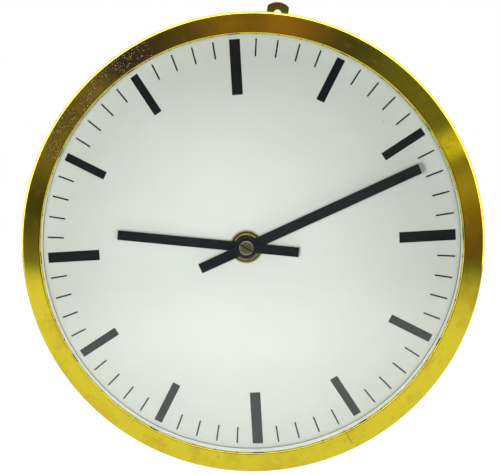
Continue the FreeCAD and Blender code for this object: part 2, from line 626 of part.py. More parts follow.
def plates():
    """Front and back plates with their pivot holes, the pillars between them and the pillar screws."""
    screw_r = 1.25
    head_r = 2.6
    head_h = 1.3
    pivot_hole = PIVOT_R + PIVOT_GAP
    front_top = FRONT_PLATE_Z + PLATE_T
    back_top = BACK_PLATE_Z + PLATE_T
    front = rounded_plate(-PLATE_HALF_W, PLATE_HALF_W, PLATE_BOTTOM_Y, PLATE_TOP_Y, PLATE_CORNER_R,
                          FRONT_PLATE_Z, front_top)
    back = rounded_plate(-PLATE_HALF_W, PLATE_HALF_W, PLATE_BOTTOM_Y, PLATE_TOP_Y, PLATE_CORNER_R,
                         BACK_PLATE_Z, back_top)
    front_holes = [disc(BUSH_R, FRONT_PLATE_Z, front_top)]
    front_holes.append(disc(STUD_R, FRONT_PLATE_Z, front_top, 0, MOTION_DISTANCE))
    back_holes = [disc(CENTRE_PIVOT_R + PIVOT_GAP, BACK_PLATE_Z, back_top)]
    for y in (INTERMEDIATE_Y, ROTOR_Y):
        front_holes.append(disc(pivot_hole, FRONT_PLATE_Z, front_top, 0, y))
        back_holes.append(disc(pivot_hole, BACK_PLATE_Z, back_top, 0, y))
    for x, y in PILLAR_PLACES:
        front_holes.append(disc(screw_r, FRONT_PLATE_Z, front_top, x, y))
        back_holes.append(disc(screw_r, BACK_PLATE_Z, back_top, x, y))
    for x, y in STATOR_SCREW_PLACES:
        back_holes.append(disc(screw_r, BACK_PLATE_Z, back_top, x, y))
    save("front_plate", front.cut(Part.makeCompound(front_holes)))
    save("back_plate", back.cut(Part.makeCompound(back_holes)))
    tapped = 4.0
    pillar = disc(PILLAR_R, back_top, FRONT_PLATE_Z).cut(disc(screw_r, back_top, back_top + tapped))
    pillar = pillar.cut(disc(screw_r, FRONT_PLATE_Z - tapped, FRONT_PLATE_Z))
    save("plate_pillars", *[moved(pillar, x, y) for x, y in PILLAR_PLACES])
    fixing = screw(head_r, head_h, screw_r, PLATE_T + tapped, 0.6, 0.6, 30)
    screws = [moved(fixing, x, y, front_top) for x, y in PILLAR_PLACES]
    screws += [moved(facing_back(fixing, BACK_PLATE_Z), x, y) for x, y in PILLAR_PLACES]
    save("pillar_screws", *screws)
    spacers = [tube(2.5, screw_r, back_top, POLE_Z, x, y) for x, y in STATOR_SCREW_PLACES]
    save("stator_spacers", *spacers)
    long_screw = screw(head_r, head_h, screw_r, POLE_Z + POLE_T - BACK_PLATE_Z, 0.6, 0.6, 70)
    save("stator_screws", *[moved(facing_back(long_screw, BACK_PLATE_Z), x, y)
                            for x, y in STATOR_SCREW_PLACES])


def motor():
    """Stator poles round the rotor, the coil core that joins them, and the coil."""
    screw_r = 1.25
    top = POLE_Z + POLE_T
    right = block(POLE_SPLIT, POLE_HALF_W, POLE_WAIST_Y, POLE_TOP_Y, POLE_Z, top)
    right = right.fuse(block(LEG_INNER_X, POLE_HALF_W, POLE_BOTTOM_Y, POLE_WAIST_Y, POLE_Z, top))
    right = right.removeSplitter().cut(disc(ROTOR_R + AIR_GAP, POLE_Z, top, 0, ROTOR_Y))
    for x, y in (STATOR_SCREW_PLACES[1], (CORE_SCREW_X, COIL_Y)):
        right = right.cut(disc(screw_r, POLE_Z, top, x, y))
    left = right.mirror(Vector(0, 0, 0), Vector(1, 0, 0))
    save("stator_poles", left, right)

    core = block(-POLE_HALF_W, POLE_HALF_W, COIL_Y - CORE_H / 2, COIL_Y + CORE_H / 2, CORE_Z, CORE_Z + CORE_T)
    for side in (-1, 1):
        core = core.cut(disc(screw_r, CORE_Z, CORE_Z + CORE_T, side * CORE_SCREW_X, COIL_Y))
    save("coil_core", core)
    fixing = screw(2.4, 1.3, screw_r, CORE_T + POLE_T, 0.6, 0.6, 15)
    save("core_screws", *[moved(fixing, side * CORE_SCREW_X, COIL_Y, CORE_Z + CORE_T) for side in (-1, 1)])

    half_h = CORE_H / 2
    half_t = CORE_T / 2
    sleeve = block(-BOBBIN_HALF_L, BOBBIN_HALF_L, COIL_Y - half_h - BOBBIN_WALL, COIL_Y + half_h + BOBBIN_WALL,
                   COIL_Z - half_t - BOBBIN_WALL, COIL_Z + half_t + BOBBIN_WALL)
    bobbin = sleeve
    for x in (-BOBBIN_HALF_L, BOBBIN_HALF_L - BOBBIN_FLANGE_T):
        bobbin = bobbin.fuse(block(x, x + BOBBIN_FLANGE_T, COIL_Y - BOBBIN_HALF_H, COIL_Y + BOBBIN_HALF_H,
                                   COIL_Z - BOBBIN_HALF_H, COIL_Z + BOBBIN_HALF_H))
    window = block(-BOBBIN_HALF_L, BOBBIN_HALF_L, COIL_Y - half_h, COIL_Y + half_h,
                   COIL_Z - half_t, COIL_Z + half_t)
    save("coil_bobbin", bobbin.removeSplitter().cut(window))
    inner_l = BOBBIN_HALF_L - BOBBIN_FLANGE_T
    winding = Part.makeCylinder(WINDING_R, 2 * inner_l, Vector(-inner_l, COIL_Y, COIL_Z), Vector(1, 0, 0))
    save("coil_winding", winding.cut(sleeve))


def coil_leads():
    """Two insulated leads from the coil to the terminal block, each one easy bend."""
    start_y = COIL_Y - WINDING_R
    bend_y = BLOCK_Y + LEAD_BEND_R
    bend_z = COIL_Z - LEAD_BEND_R
    end_z = CASE_FLOOR_Z + BLOCK_T - LEAD_HOLE_DEPTH
    turn = math.sqrt(0.5) * LEAD_BEND_R
    leads = []
    for side in (-1, 1):
        x = side * LEAD_X
        middle = Vector(x, bend_y - turn, bend_z + turn)
        path = Part.Wire([
            line(Vector(x, start_y, COIL_Z), Vector(x, bend_y, COIL_Z)),
            arc(Vector(x, bend_y, COIL_Z), middle, Vector(x, BLOCK_Y, bend_z)),
            line(Vector(x, BLOCK_Y, bend_z), Vector(x, BLOCK_Y, end_z)),
        ])
        ring = Part.Wire(Part.Circle(Vector(x, start_y, COIL_Z), Vector(0, -1, 0), LEAD_R).toShape())
        leads.append(path.makePipeShell([ring], True, True))
    save("coil_leads", *leads)


def main():
    """Write every piece."""
    os.makedirs("parts", exist_ok=True)
    case_drum()
    mounting_lugs()
    lug_rivets()
    cable_grommet()
    terminal_block()
    glass_and_gasket(bezel_ring())
    dial()
    dial_printing()
    hub()
    hour_group()
    minute_group()
    motion_work()
    intermediate_group()
    rotor_group()
    plates()
    motor()
    coil_leads()


main()
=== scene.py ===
"""Looks of the ship's deck clock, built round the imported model, in metres.

The clock faces -Y, +X points to three o'clock and +Z to twelve o'clock. A depth is a distance in front
of the bulkhead, so a point at depth d lies at y = -d. Angles of hands, lugs and wear marks are degrees
clockwise from twelve o'clock, seen from the front.
"""
import json
import logging
import math
from dataclasses import dataclass, field
from enum import Enum
from typing import Callable, Dict, List, Sequence, Tuple, Union

import bmesh
import bpy
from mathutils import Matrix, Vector


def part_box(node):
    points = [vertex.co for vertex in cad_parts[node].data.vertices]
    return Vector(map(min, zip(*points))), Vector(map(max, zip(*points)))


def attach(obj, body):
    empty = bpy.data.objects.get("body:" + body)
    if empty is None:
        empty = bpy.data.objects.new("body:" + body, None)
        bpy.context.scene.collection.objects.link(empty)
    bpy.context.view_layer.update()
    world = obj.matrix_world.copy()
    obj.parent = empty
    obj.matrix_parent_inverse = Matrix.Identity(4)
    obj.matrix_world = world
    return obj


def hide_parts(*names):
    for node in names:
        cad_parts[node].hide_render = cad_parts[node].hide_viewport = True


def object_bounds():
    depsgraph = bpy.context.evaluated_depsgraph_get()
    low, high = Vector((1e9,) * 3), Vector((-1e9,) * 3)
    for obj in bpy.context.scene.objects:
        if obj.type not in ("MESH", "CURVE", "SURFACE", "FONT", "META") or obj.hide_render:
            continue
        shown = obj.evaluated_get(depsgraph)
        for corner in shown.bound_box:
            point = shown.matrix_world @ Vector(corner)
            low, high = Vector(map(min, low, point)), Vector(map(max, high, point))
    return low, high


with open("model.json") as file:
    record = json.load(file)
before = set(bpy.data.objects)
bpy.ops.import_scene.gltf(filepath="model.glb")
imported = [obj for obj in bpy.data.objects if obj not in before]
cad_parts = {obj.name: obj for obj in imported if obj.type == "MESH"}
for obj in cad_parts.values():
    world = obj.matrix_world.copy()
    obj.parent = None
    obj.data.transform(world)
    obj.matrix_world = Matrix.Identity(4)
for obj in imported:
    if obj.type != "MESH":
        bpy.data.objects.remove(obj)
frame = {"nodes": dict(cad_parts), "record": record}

CAD_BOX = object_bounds()
MM = 0.001
SKIN = 0.005 * MM
BODY_CASE = "case"
BODY_BEZEL = "bezel"
BODY_MINUTE = "minute_group"
BODY_HOUR = "hour_group"
LARGE_SIDES = 192
SCREW_SIDES = 72
EYE_SIDES = 64
SMALL_SIDES = 48
HOLE_SIDES = 32

Colour = Tuple[float, float, float]
Source = Union[bpy.types.NodeSocket, float, Tuple[float, ...]]

log = logging.getLogger("deck_clock")


# ---------------------------------------------------------------------------------------------------
# sizes read from the frame
# ---------------------------------------------------------------------------------------------------
@dataclass(frozen=True)
class Span:
    """Reach of a CAD node that is round about its own axis along Y.

    Args:
        radius: outer radius.
        back: depth of its rear face.
        front: depth of its front face.
    """
    radius: float
    back: float
    front: float


def span_of(node: str) -> Span:
    """Measure a CAD node.

    Args:
        node: name of the CAD node.

    Returns:
        Its span, from its box at rest.
    """
    low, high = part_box(node)
    return Span((high.x - low.x) / 2, -high.y, -low.y)


@dataclass(frozen=True)
class Station:
    """One ring of a turned outline: its radius and its depth."""
    radius: float
    depth: float


def arc_stations(centre: Station, radius: float, start: float, end: float, steps: int) -> List[Station]:
    """Stations along an arc of a turned outline.

    Args:
        centre: centre of the arc.
        radius: radius of the arc.
        start: first heading in degrees, 0 outwards and 90 forwards.
        end: last heading in degrees.
        steps: number of steps along the arc.

    Returns:
        The stations from start to end, both ends included.
    """
    turns = [math.radians(start + (end - start) * step / steps) for step in range(steps + 1)]
    return [Station(centre.radius + radius * math.cos(t), centre.depth + radius * math.sin(t)) for t in turns]


def on_clock(radius: float, angle: float, depth: float) -> Vector:
    """Point at a radius and clock angle, at a depth."""
    turn = math.radians(angle)
    return Vector((radius * math.sin(turn), -depth, radius * math.cos(turn)))


# ---------------------------------------------------------------------------------------------------
# bench: shaping pieces with the modelling operators
# ---------------------------------------------------------------------------------------------------
class Closing(Enum):
    """How the two open ends of a turned outline are closed."""
    BRIDGE = "bridge"
    CAPS = "caps"


class Bench:
    """Shapes the new pieces by hand operations, each left at the origin with its place in its mesh."""

    @staticmethod
    def take(piece: bpy.types.Object) -> None:
        """Select one piece alone and make it active."""
        bpy.ops.object.select_all(action="DESELECT")
        piece.select_set(True)
        bpy.context.view_layer.objects.active = piece

    @classmethod
    def settle(cls, piece: bpy.types.Object) -> None:
        """Put a piece's place, turn and scale into its mesh."""
        cls.take(piece)
        bpy.ops.object.transform_apply(location=True, rotation=True, scale=True)

    @classmethod
    def edit(cls, piece: bpy.types.Object) -> None:
        """Open a piece in edit mode with nothing selected."""
        cls.take(piece)
        bpy.ops.object.mode_set(mode="EDIT")
        bpy.ops.mesh.select_all(action="DESELECT")

    @staticmethod
    def close() -> None:
        """Make the open mesh's normals point outwards and leave edit mode."""
        bpy.ops.mesh.select_all(action="SELECT")
        bpy.ops.mesh.normals_make_consistent(inside=False)
        bpy.ops.object.mode_set(mode="OBJECT")

    @staticmethod
    def pick(piece: bpy.types.Object, wanted: Callable[[Vector], bool]) -> int:
        """Select the vertices of the open mesh whose places pass a test.

        Args:
            piece: the piece that is in edit mode.
            wanted: test of a vertex's place.

        Returns:
            How many vertices are selected.
        """
        bpy.ops.mesh.select_mode(type="VERT")
        mesh = bmesh.from_edit_mesh(piece.data)
        count = 0
        for vertex in mesh.verts:
            chosen = wanted(vertex.co)
            vertex.select_set(chosen)
            count += int(chosen)
        mesh.select_flush(True)
        bmesh.update_edit_mesh(piece.data)
        return count

    @classmethod
    def turn(cls, name: str, outline: Sequence[Station], segments: int,
             closing: Closing = Closing.BRIDGE) -> bpy.types.Object:
        """Turn a round piece: a circle is extruded and scaled from ring to ring of its outline.

        Args:
            name: name of the piece.
            outline: its rings in order.
            segments: how many sides each ring has.
            closing: how the first and last rings are closed.

        Returns:
            The piece, smooth where its outline is smooth.
        """
        first = outline[0]
        bpy.ops.object.select_all(action="DESELECT")
        bpy.ops.mesh.primitive_circle_add(vertices=segments, radius=first.radius,
                                          location=(0, -first.depth, 0), rotation=(math.pi / 2, 0, 0))
        piece = bpy.context.object
        piece.name = name
        piece.data.name = name
        cls.settle(piece)
        bpy.ops.object.mode_set(mode="EDIT")
        bpy.ops.mesh.select_all(action="SELECT")
        for here, there in zip(outline, outline[1:]):
            bpy.ops.mesh.extrude_region_move(
                TRANSFORM_OT_translate={"value": (0, here.depth - there.depth, 0)})
            grow = there.radius / here.radius
            bpy.ops.transform.resize(value=(grow, 1, grow), center_override=(0, -there.depth, 0))
        if closing is Closing.BRIDGE:
            bpy.ops.mesh.select_all(action="DESELECT")
            bpy.ops.mesh.select_non_manifold()
            bpy.ops.mesh.bridge_edge_loops()
        else:
            bpy.ops.mesh.edge_face_add()
            cls.pick(piece, lambda place: False)
            bpy.ops.mesh.select_non_manifold()
            bpy.ops.mesh.edge_face_add()
        cls.close()
        cls.smooth(piece)
        return piece

    @classmethod
    def bar(cls, name: str, size: Vector, centre: Vector) -> bpy.types.Object:
        """Rough bar, to be shaped further.

        Args:
            name: name of the piece.
            size: its width, depth and height.
            centre: its middle.

        Returns:
            The bar.
        """
        bpy.ops.object.select_all(action="DESELECT")
        bpy.ops.mesh.primitive_cube_add(size=1, location=centre, scale=size)
        piece = bpy.context.object
        piece.name = name
        piece.data.name = name
        cls.settle(piece)
        return piece

    @classmethod
    def modify(cls, piece: bpy.types.Object, kind: str, **settings: object) -> None:
        """Add one modifier to a piece and apply it.

        Args:
            piece: the piece.
            kind: the modifier's type.
            **settings: its settings.
        """
        cls.take(piece)
        modifier = piece.modifiers.new(kind.lower(), kind)
        for key, value in settings.items():
            setattr(modifier, key, value)
        bpy.ops.object.modifier_apply(modifier=modifier.name)

    @classmethod
    def combine(cls, piece: bpy.types.Object, tool: bpy.types.Object, operation: str) -> None:
        """Join a second solid to a piece, or cut the piece with it, and clear the second solid away.

        Args:
            piece: the piece that stays.
            tool: the solid that is used up.
            operation: UNION or DIFFERENCE.
        """
        cls.modify(piece, "BOOLEAN", operation=operation, object=tool, solver="EXACT")
        bpy.data.objects.remove(tool)

    @classmethod
    def soften(cls, piece: bpy.types.Object, width: float, segments: int = 2) -> None:
        """Round a piece's sharp edges and keep its flats flat.

        Args:
            piece: the piece.
            width: width of the rounding.
            segments: steps of the rounding.
        """
        cls.modify(piece, "BEVEL", width=width, segments=segments, limit_method="ANGLE",
                   angle_limit=math.radians(40), use_clamp_overlap=True)
        cls.smooth(piece)
        cls.modify(piece, "WEIGHTED_NORMAL", keep_sharp=True)

    @classmethod
    def smooth(cls, piece: bpy.types.Object, limit: float = 35.0) -> None:
        """Shade a piece smooth up to an angle between its faces."""
        cls.take(piece)
        bpy.ops.object.shade_smooth_by_angle(angle=math.radians(limit))

    @classmethod
    def clock_turn(cls, piece: bpy.types.Object, angle: float) -> None:
        """Turn a piece clockwise about the clock's axis, into its mesh."""
        piece.rotation_euler = (0, math.radians(angle), 0)
        cls.settle(piece)


# ---------------------------------------------------------------------------------------------------
# shader wiring and the effects that materials share
# ---------------------------------------------------------------------------------------------------
def node_of(tree: bpy.types.NodeTree, kind: str) -> bpy.types.Node:
    """First node of a kind in a tree."""
    return next(node for node in tree.nodes if node.type == kind)


class Wiring:
    """Adds nodes to one shader tree and joins them."""

    def __init__(self, tree: bpy.types.NodeTree) -> None:
        """Take the tree to work in."""
        self.tree = tree

    def add(self, kind: str, **settings: object) -> bpy.types.Node:
        """Add a node.

        Args:
            kind: the node's type.
            **settings: its properties.

        Returns:
            The node.
        """
        node = self.tree.nodes.new(kind)
        for key, value in settings.items():
            setattr(node, key, value)
        return node

    def feed(self, socket: bpy.types.NodeSocket, value: Source) -> None:
        """Give an input a link or a constant."""
        if isinstance(value, bpy.types.NodeSocket):
            self.tree.links.new(value, socket)
        else:
            socket.default_value = value

    def maths(self, operation: str, *values: Source) -> bpy.types.NodeSocket:
        """Result of a Math node."""
        node = self.add("ShaderNodeMath", operation=operation)
        for socket, value in zip(node.inputs, values):
            self.feed(socket, value)
        return node.outputs[0]

    def vectors(self, operation: str, *values: Source) -> bpy.types.Node:
        """Vector Math node with its inputs fed."""
        node = self.add("ShaderNodeVectorMath", operation=operation)
        for socket, value in zip(node.inputs, values):
            self.feed(socket, value)
        return node

    def fade(self, value: Source, low: float, high: float) -> bpy.types.NodeSocket:
        """Smooth step from 0 at low to 1 at high."""
        node = self.add("ShaderNodeMapRange", interpolation_type="SMOOTHSTEP", clamp=True)
        self.feed(node.inputs["Value"], value)
        self.feed(node.inputs["From Min"], low)
        self.feed(node.inputs["From Max"], high)
        return node.outputs["Result"]

    def spread(self, value: Source, low: float, high: float) -> bpy.types.NodeSocket:
        """Straight line from low at 0 to high at 1."""
        node = self.add("ShaderNodeMapRange", clamp=True)
        self.feed(node.inputs["Value"], value)
        self.feed(node.inputs["To Min"], low)
        self.feed(node.inputs["To Max"], high)
        return node.outputs["Result"]

    def axes(self, vector: Source) -> Dict[str, bpy.types.NodeSocket]:
        """X, Y and Z of a vector, by name."""
        node = self.add("ShaderNodeSeparateXYZ")
        self.feed(node.inputs[0], vector)
        return {socket.name: socket for socket in node.outputs}

    def along(self, vector: Source, direction: Sequence[float]) -> bpy.types.NodeSocket:
        """Reach of a vector along a direction."""
        return self.vectors("DOT_PRODUCT", vector, tuple(direction)).outputs["Value"]

    def tint(self, factor: Source, first: Source, second: Source) -> bpy.types.NodeSocket:
        """Colour between two colours."""
        node = self.add("ShaderNodeMix", data_type="RGBA")
        self.feed(node.inputs["Factor"], factor)
        self.feed(node.inputs["A"], first if isinstance(first, bpy.types.NodeSocket) else (*first, 1.0))
        self.feed(node.inputs["B"], second if isinstance(second, bpy.types.NodeSocket) else (*second, 1.0))
        return node.outputs["Result"]

    def layer(self, tone: Source, colour: Colour, mask: Source, strength: float) -> bpy.types.NodeSocket:
        """Lay a colour over a tone, by the strength of a mask."""
        return self.tint(self.maths("MULTIPLY", mask, strength), tone, colour)

    def noise(self, vector: Source, scale: Source, detail: float = 3.0) -> bpy.types.NodeSocket:
        """Noise value, about one half on average."""
        node = self.add("ShaderNodeTexNoise")
        self.feed(node.inputs["Vector"], vector)
        self.feed(node.inputs["Scale"], scale)
        self.feed(node.inputs["Detail"], detail)
        return node.outputs["Fac"]

    def group(self, effect: bpy.types.NodeTree, **inputs: Source) -> bpy.types.NodeSocket:
        """Place a shared effect, feed its inputs by name and return its one output."""
        node = self.add("ShaderNodeGroup", node_tree=effect)
        for key, value in inputs.items():
            self.feed(node.inputs[key], value)
        return node.outputs[0]

    def bump(self, height: Source, strength: float, distance: float) -> bpy.types.NodeSocket:
        """Normal from a height."""
        node = self.add("ShaderNodeBump")
        self.feed(node.inputs["Height"], height)
        node.inputs["Strength"].default_value = strength
        node.inputs["Distance"].default_value = distance
        return node.outputs["Normal"]


class Effects:
    """Shader node groups that several materials use. They put out masks and heights only."""

    def __init__(self) -> None:
        """Build every group once."""
        self.blotches = self._blotches()
        self.turning = self._turning()
        self.specks = self._specks()
        self.scratches = self._scratches()

    @staticmethod
    def _start(name: str, inputs: Dict[str, float], output: str) -> Tuple[Wiring, Dict, bpy.types.NodeSocket]:
        """Open a new group with a Vector input.

        Args:
            name: the group's name.
            inputs: further inputs with their starting values.
            output: name of its value output.

        Returns:
            Its wiring, its input sockets by name and the socket of its output.
        """
        tree = bpy.data.node_groups.new(name, "ShaderNodeTree")
        tree.interface.new_socket(name="Vector", in_out="INPUT", socket_type="NodeSocketVector")
        for key, value in inputs.items():
            socket = tree.interface.new_socket(name=key, in_out="INPUT", socket_type="NodeSocketFloat")
            socket.default_value = value
        tree.interface.new_socket(name=output, in_out="OUTPUT", socket_type="NodeSocketFloat")
        wiring = Wiring(tree)
        given = wiring.add("NodeGroupInput")
        result = wiring.add("NodeGroupOutput")
        return wiring, {socket.name: socket for socket in given.outputs}, result.inputs[0]

    def _blotches(self) -> bpy.types.NodeTree:
        """Cloudy patches at two scales, as tarnish and smears have."""
        wiring, given, mask = self._start("blotches", {"Size": 0.02, "Cover": 0.5}, "Mask")
        coarse_share, fine_share, fine_rate = 0.72, 0.28, 5.3
        bare_level, cover_fall, edge = 0.86, 0.72, 0.09
        rate = wiring.maths("DIVIDE", 1.0, given["Size"])
        coarse = wiring.noise(given["Vector"], rate)
        fine = wiring.noise(given["Vector"], wiring.maths("MULTIPLY", rate, fine_rate))
        total = wiring.maths("ADD", wiring.maths("MULTIPLY", coarse, coarse_share),
                             wiring.maths("MULTIPLY", fine, fine_share))
        level = wiring.maths("SUBTRACT", bare_level, wiring.maths("MULTIPLY", given["Cover"], cover_fall))
        wiring.feed(mask, wiring.fade(wiring.maths("SUBTRACT", total, level), -edge, edge))
        return wiring.tree

    def _turning(self) -> bpy.types.NodeTree:
        """Fine lines round the clock's axis, as a lathe or a polishing mop leaves them."""
        wiring, given, height = self._start("turning_lines", {"Pitch": 0.0004}, "Height")
        drift = 14.0
        parts = wiring.axes(given["Vector"])
        flat = wiring.add("ShaderNodeCombineXYZ")
        wiring.feed(flat.inputs["X"], parts["X"])
        wiring.feed(flat.inputs["Y"], parts["Z"])
        radius = wiring.vectors("LENGTH", flat.outputs[0]).outputs["Value"]
        lines = wiring.add("ShaderNodeCombineXYZ")
        wiring.feed(lines.inputs["X"], wiring.maths("DIVIDE", radius, given["Pitch"]))
        wiring.feed(lines.inputs["Y"], wiring.maths("DIVIDE", parts["Y"], given["Pitch"]))
        wiring.feed(lines.inputs["Z"], wiring.maths("MULTIPLY", parts["X"], drift))
        wiring.feed(height, wiring.noise(lines.outputs[0], 1.0, 2.0))
        return wiring.tree

    def _specks(self) -> bpy.types.NodeTree:
        """Scattered round specks of uneven size."""
        wiring, given, mask = self._start("specks", {"Gap": 0.004, "Size": 0.1, "Share": 0.5}, "Mask")
        smallest, outer_edge, inner_edge = 0.35, -0.15, 0.3
        cells = wiring.add("ShaderNodeTexVoronoi", feature="F1")
        wiring.feed(cells.inputs["Vector"], given["Vector"])
        wiring.feed(cells.inputs["Scale"], wiring.maths("DIVIDE", 1.0, given["Gap"]))
        chance = wiring.add("ShaderNodeSeparateColor")
        wiring.feed(chance.inputs[0], cells.outputs["Color"])
        kept = wiring.maths("LESS_THAN", chance.outputs["Red"], given["Share"])
        growth = wiring.maths("ADD", chance.outputs["Green"], smallest)
        reach = wiring.maths("MULTIPLY", given["Size"], growth)
        inside = wiring.maths("SUBTRACT", reach, cells.outputs["Distance"])
        edge = wiring.fade(wiring.maths("DIVIDE", inside, given["Size"]), outer_edge, inner_edge)
        wiring.feed(mask, wiring.maths("MULTIPLY", edge, kept))
        return wiring.tree

    def _scratches(self) -> bpy.types.NodeTree:
        """Short hairline scratches in two directions."""
        wiring, given, mask = self._start("scratches", {"Size": 0.01, "Share": 0.3}, "Mask")
        fineness, share_lift = 9.0, 0.4
        line_edge, line_core = 0.012, 0.003
        patch_start, patch_full = 0.62, 0.7
        marks = []
        for turn, stretch in ((0.6, 0.06), (-1.0, 0.045)):
            mapping = wiring.add("ShaderNodeMapping")
            wiring.feed(mapping.inputs["Vector"], given["Vector"])
            mapping.inputs["Rotation"].default_value = (0.0, turn, 0.0)
            mapping.inputs["Scale"].default_value = (1.0, 1.0, stretch)
            lines = wiring.noise(mapping.outputs[0], wiring.maths("DIVIDE", fineness, given["Size"]), 1.0)
            patchy = wiring.noise(given["Vector"], wiring.maths("DIVIDE", 1.0, given["Size"]), 1.0)
            off = wiring.maths("ABSOLUTE", wiring.maths("SUBTRACT", lines, 0.5))
            lifted = wiring.maths("ADD", patchy, wiring.maths("MULTIPLY", given["Share"], share_lift))
            marks.append(wiring.maths("MULTIPLY", wiring.fade(off, line_edge, line_core),
                                      wiring.fade(lifted, patch_start, patch_full)))
        wiring.feed(mask, wiring.maths("MAXIMUM", *marks))
        return wiring.tree


# ---------------------------------------------------------------------------------------------------
# finishes
# ---------------------------------------------------------------------------------------------------
class Finish:
    """A named surface finish that makes its own material."""
    name: str

    def _open(self) -> Tuple[bpy.types.Material, Wiring, bpy.types.Node, bpy.types.NodeSocket]:
        """Start a material.

        Returns:
            The material, its wiring, its Principled BSDF and the Object coordinates.
        """
        material = bpy.data.materials.new(self.name)
        material.use_nodes = True
        wiring = Wiring(material.node_tree)
        shader = node_of(material.node_tree, "BSDF_PRINCIPLED")
        place = wiring.add("ShaderNodeTexCoord").outputs["Object"]
        return material, wiring, shader, place


@dataclass(frozen=True)
class WornArc:
    """A stretch of a ring that is rubbed dark and gritty.

    Args:
        start: first clock angle, from -180 to 180.
        end: last clock angle.
        ends: angle over which it fades in at each end.
        size: size of its patches.
        ground: colour of the patches.
        grit: colour of the bright grit in them.
    """
    start: float
    end: float
    ends: float = 7.0
    size: float = 6.0 * MM
    ground: Colour = (0.36, 0.24, 0.09)
    grit: Colour = (0.70, 0.50, 0.17)


@dataclass(frozen=True)
class Brass(Finish):
    """Polished brass with tarnish, smears, turning lines, scratches and rubbed specks.

    Args:
        name: name of the finish.
        clean: colour of the clean metal.
        tarnish: colour of the tarnished metal.
        dull: colour of the dull film over both.
        cover: share of the surface that is tarnished.
        blotch: size of the tarnish patches.
        contrast: strength of the patches.
        roughness: lowest and highest roughness.
        pitch: pitch of the turning lines.
        line_depth: depth of the turning lines.
        worn: the worn stretch, or None.
        seam: clock angle of a soldered seam, or None.
        sunk: depth below which the metal darkens, as old grime and painted shade in the hollows, or None.
    """
    name: str
    clean: Colour
    tarnish: Colour
    dull: Colour
    cover: float = 0.45
    blotch: float = 0.02
    contrast: float = 0.5
    roughness: Tuple[float, float] = (0.14, 0.34)
    pitch: float = 0.0004
    line_depth: float = 0.00001
    worn: Union[WornArc, None] = None
    seam: Union[float, None] = None
    sunk: Union[float, None] = None

    def material(self, effects: Effects) -> bpy.types.Material:
        """Make the material from the shared effects."""
        material, wiring, shader, place = self._open()
        patches = wiring.group(effects.blotches, Vector=place, Size=self.blotch, Cover=self.cover)
        film = wiring.group(effects.blotches, Vector=place, Size=self.blotch * 0.37, Cover=self.cover * 0.8)
        lines = wiring.group(effects.turning, Vector=place, Pitch=self.pitch)
        marks = wiring.group(effects.scratches, Vector=place, Size=0.012, Share=0.45)
        pits = wiring.group(effects.specks, Vector=place, Gap=0.005, Size=0.11, Share=0.3)
        tone = wiring.layer(self.clean, self.tarnish, patches, self.contrast)
        tone = wiring.layer(tone, self.dull, film, 0.6 * self.contrast)
        tone = wiring.layer(tone, self.tarnish, pits, 0.55)
        rough = wiring.spread(film, *self.roughness)
        height = wiring.maths("ADD", lines, wiring.maths("MULTIPLY", marks, -0.25))
        if self.worn is not None:
            patch, grit = self._worn_masks(wiring, place, effects)
            tone = wiring.layer(tone, self.worn.ground, patch, 0.5)
            tone = wiring.layer(tone, self.worn.grit, grit, 0.8)
            rough = wiring.maths("ADD", rough, wiring.maths("MULTIPLY", grit, 0.28))
        if self.seam is not None:
            hair = self._seam_mask(wiring, place)
            tone = wiring.layer(tone, SOLDER_BROWN, hair, 0.85)
            rough = wiring.maths("ADD", rough, wiring.maths("MULTIPLY", hair, 0.3))
        if self.sunk is not None:
            # painted shade with old grime: metal deeper than sunk turns dark, as in the screw's slot
            front = wiring.along(place, (0.0, -1.0, 0.0))
            tone = wiring.tint(wiring.fade(front, self.sunk, self.sunk - 0.2 * MM), tone, SUNK_GRIME_AND_SHADE)
        wiring.feed(shader.inputs["Base Color"], tone)
        wiring.feed(shader.inputs["Roughness"], rough)
        wiring.feed(shader.inputs["Normal"], wiring.bump(height, 1.0, self.line_depth))
        shader.inputs["Metallic"].default_value = 1.0
        return material

    def _worn_masks(self, wiring: Wiring, place: bpy.types.NodeSocket,
                    effects: Effects) -> Tuple[bpy.types.NodeSocket, bpy.types.NodeSocket]:
        """Masks of the worn stretch.

        Args:
            wiring: the material's wiring.
            place: the Object coordinates.
            effects: the shared effects.

        Returns:
            The mask of its dark patches and the mask of the bright grit in them.
        """
        parts = wiring.axes(place)
        turn = wiring.maths("ARCTAN2", parts["X"], parts["Z"])
        angle = wiring.maths("MULTIPLY", turn, math.degrees(1.0))
        arc = wiring.maths("MULTIPLY", wiring.fade(angle, self.worn.start, self.worn.start + self.worn.ends),
                           wiring.fade(angle, self.worn.end, self.worn.end - self.worn.ends))
        spots = wiring.group(effects.blotches, Vector=place, Size=self.worn.size, Cover=0.58)
        patch = wiring.maths("MULTIPLY", arc, spots)
        grit = wiring.group(effects.specks, Vector=place, Gap=0.6 * MM, Size=0.34, Share=0.8)
        return patch, wiring.maths("MULTIPLY", patch, grit)

    def _seam_mask(self, wiring: Wiring, place: bpy.types.NodeSocket) -> bpy.types.NodeSocket:
        """Thin line along the soldered seam, on its own side of the axis, as far out as the seam goes."""
        off = wiring.maths("ABSOLUTE", wiring.along(place, on_clock(1.0, self.seam + 90.0, 0)))
        line = wiring.fade(off, 0.22 * MM, 0.08 * MM)
        reach = wiring.along(place, on_clock(1.0, self.seam, 0))
        side = wiring.maths("MULTIPLY", wiring.maths("GREATER_THAN", reach, 0.0),
                            wiring.fade(reach, SEAM_END + 1.5 * MM, SEAM_END))
        return wiring.maths("MULTIPLY", line, side)


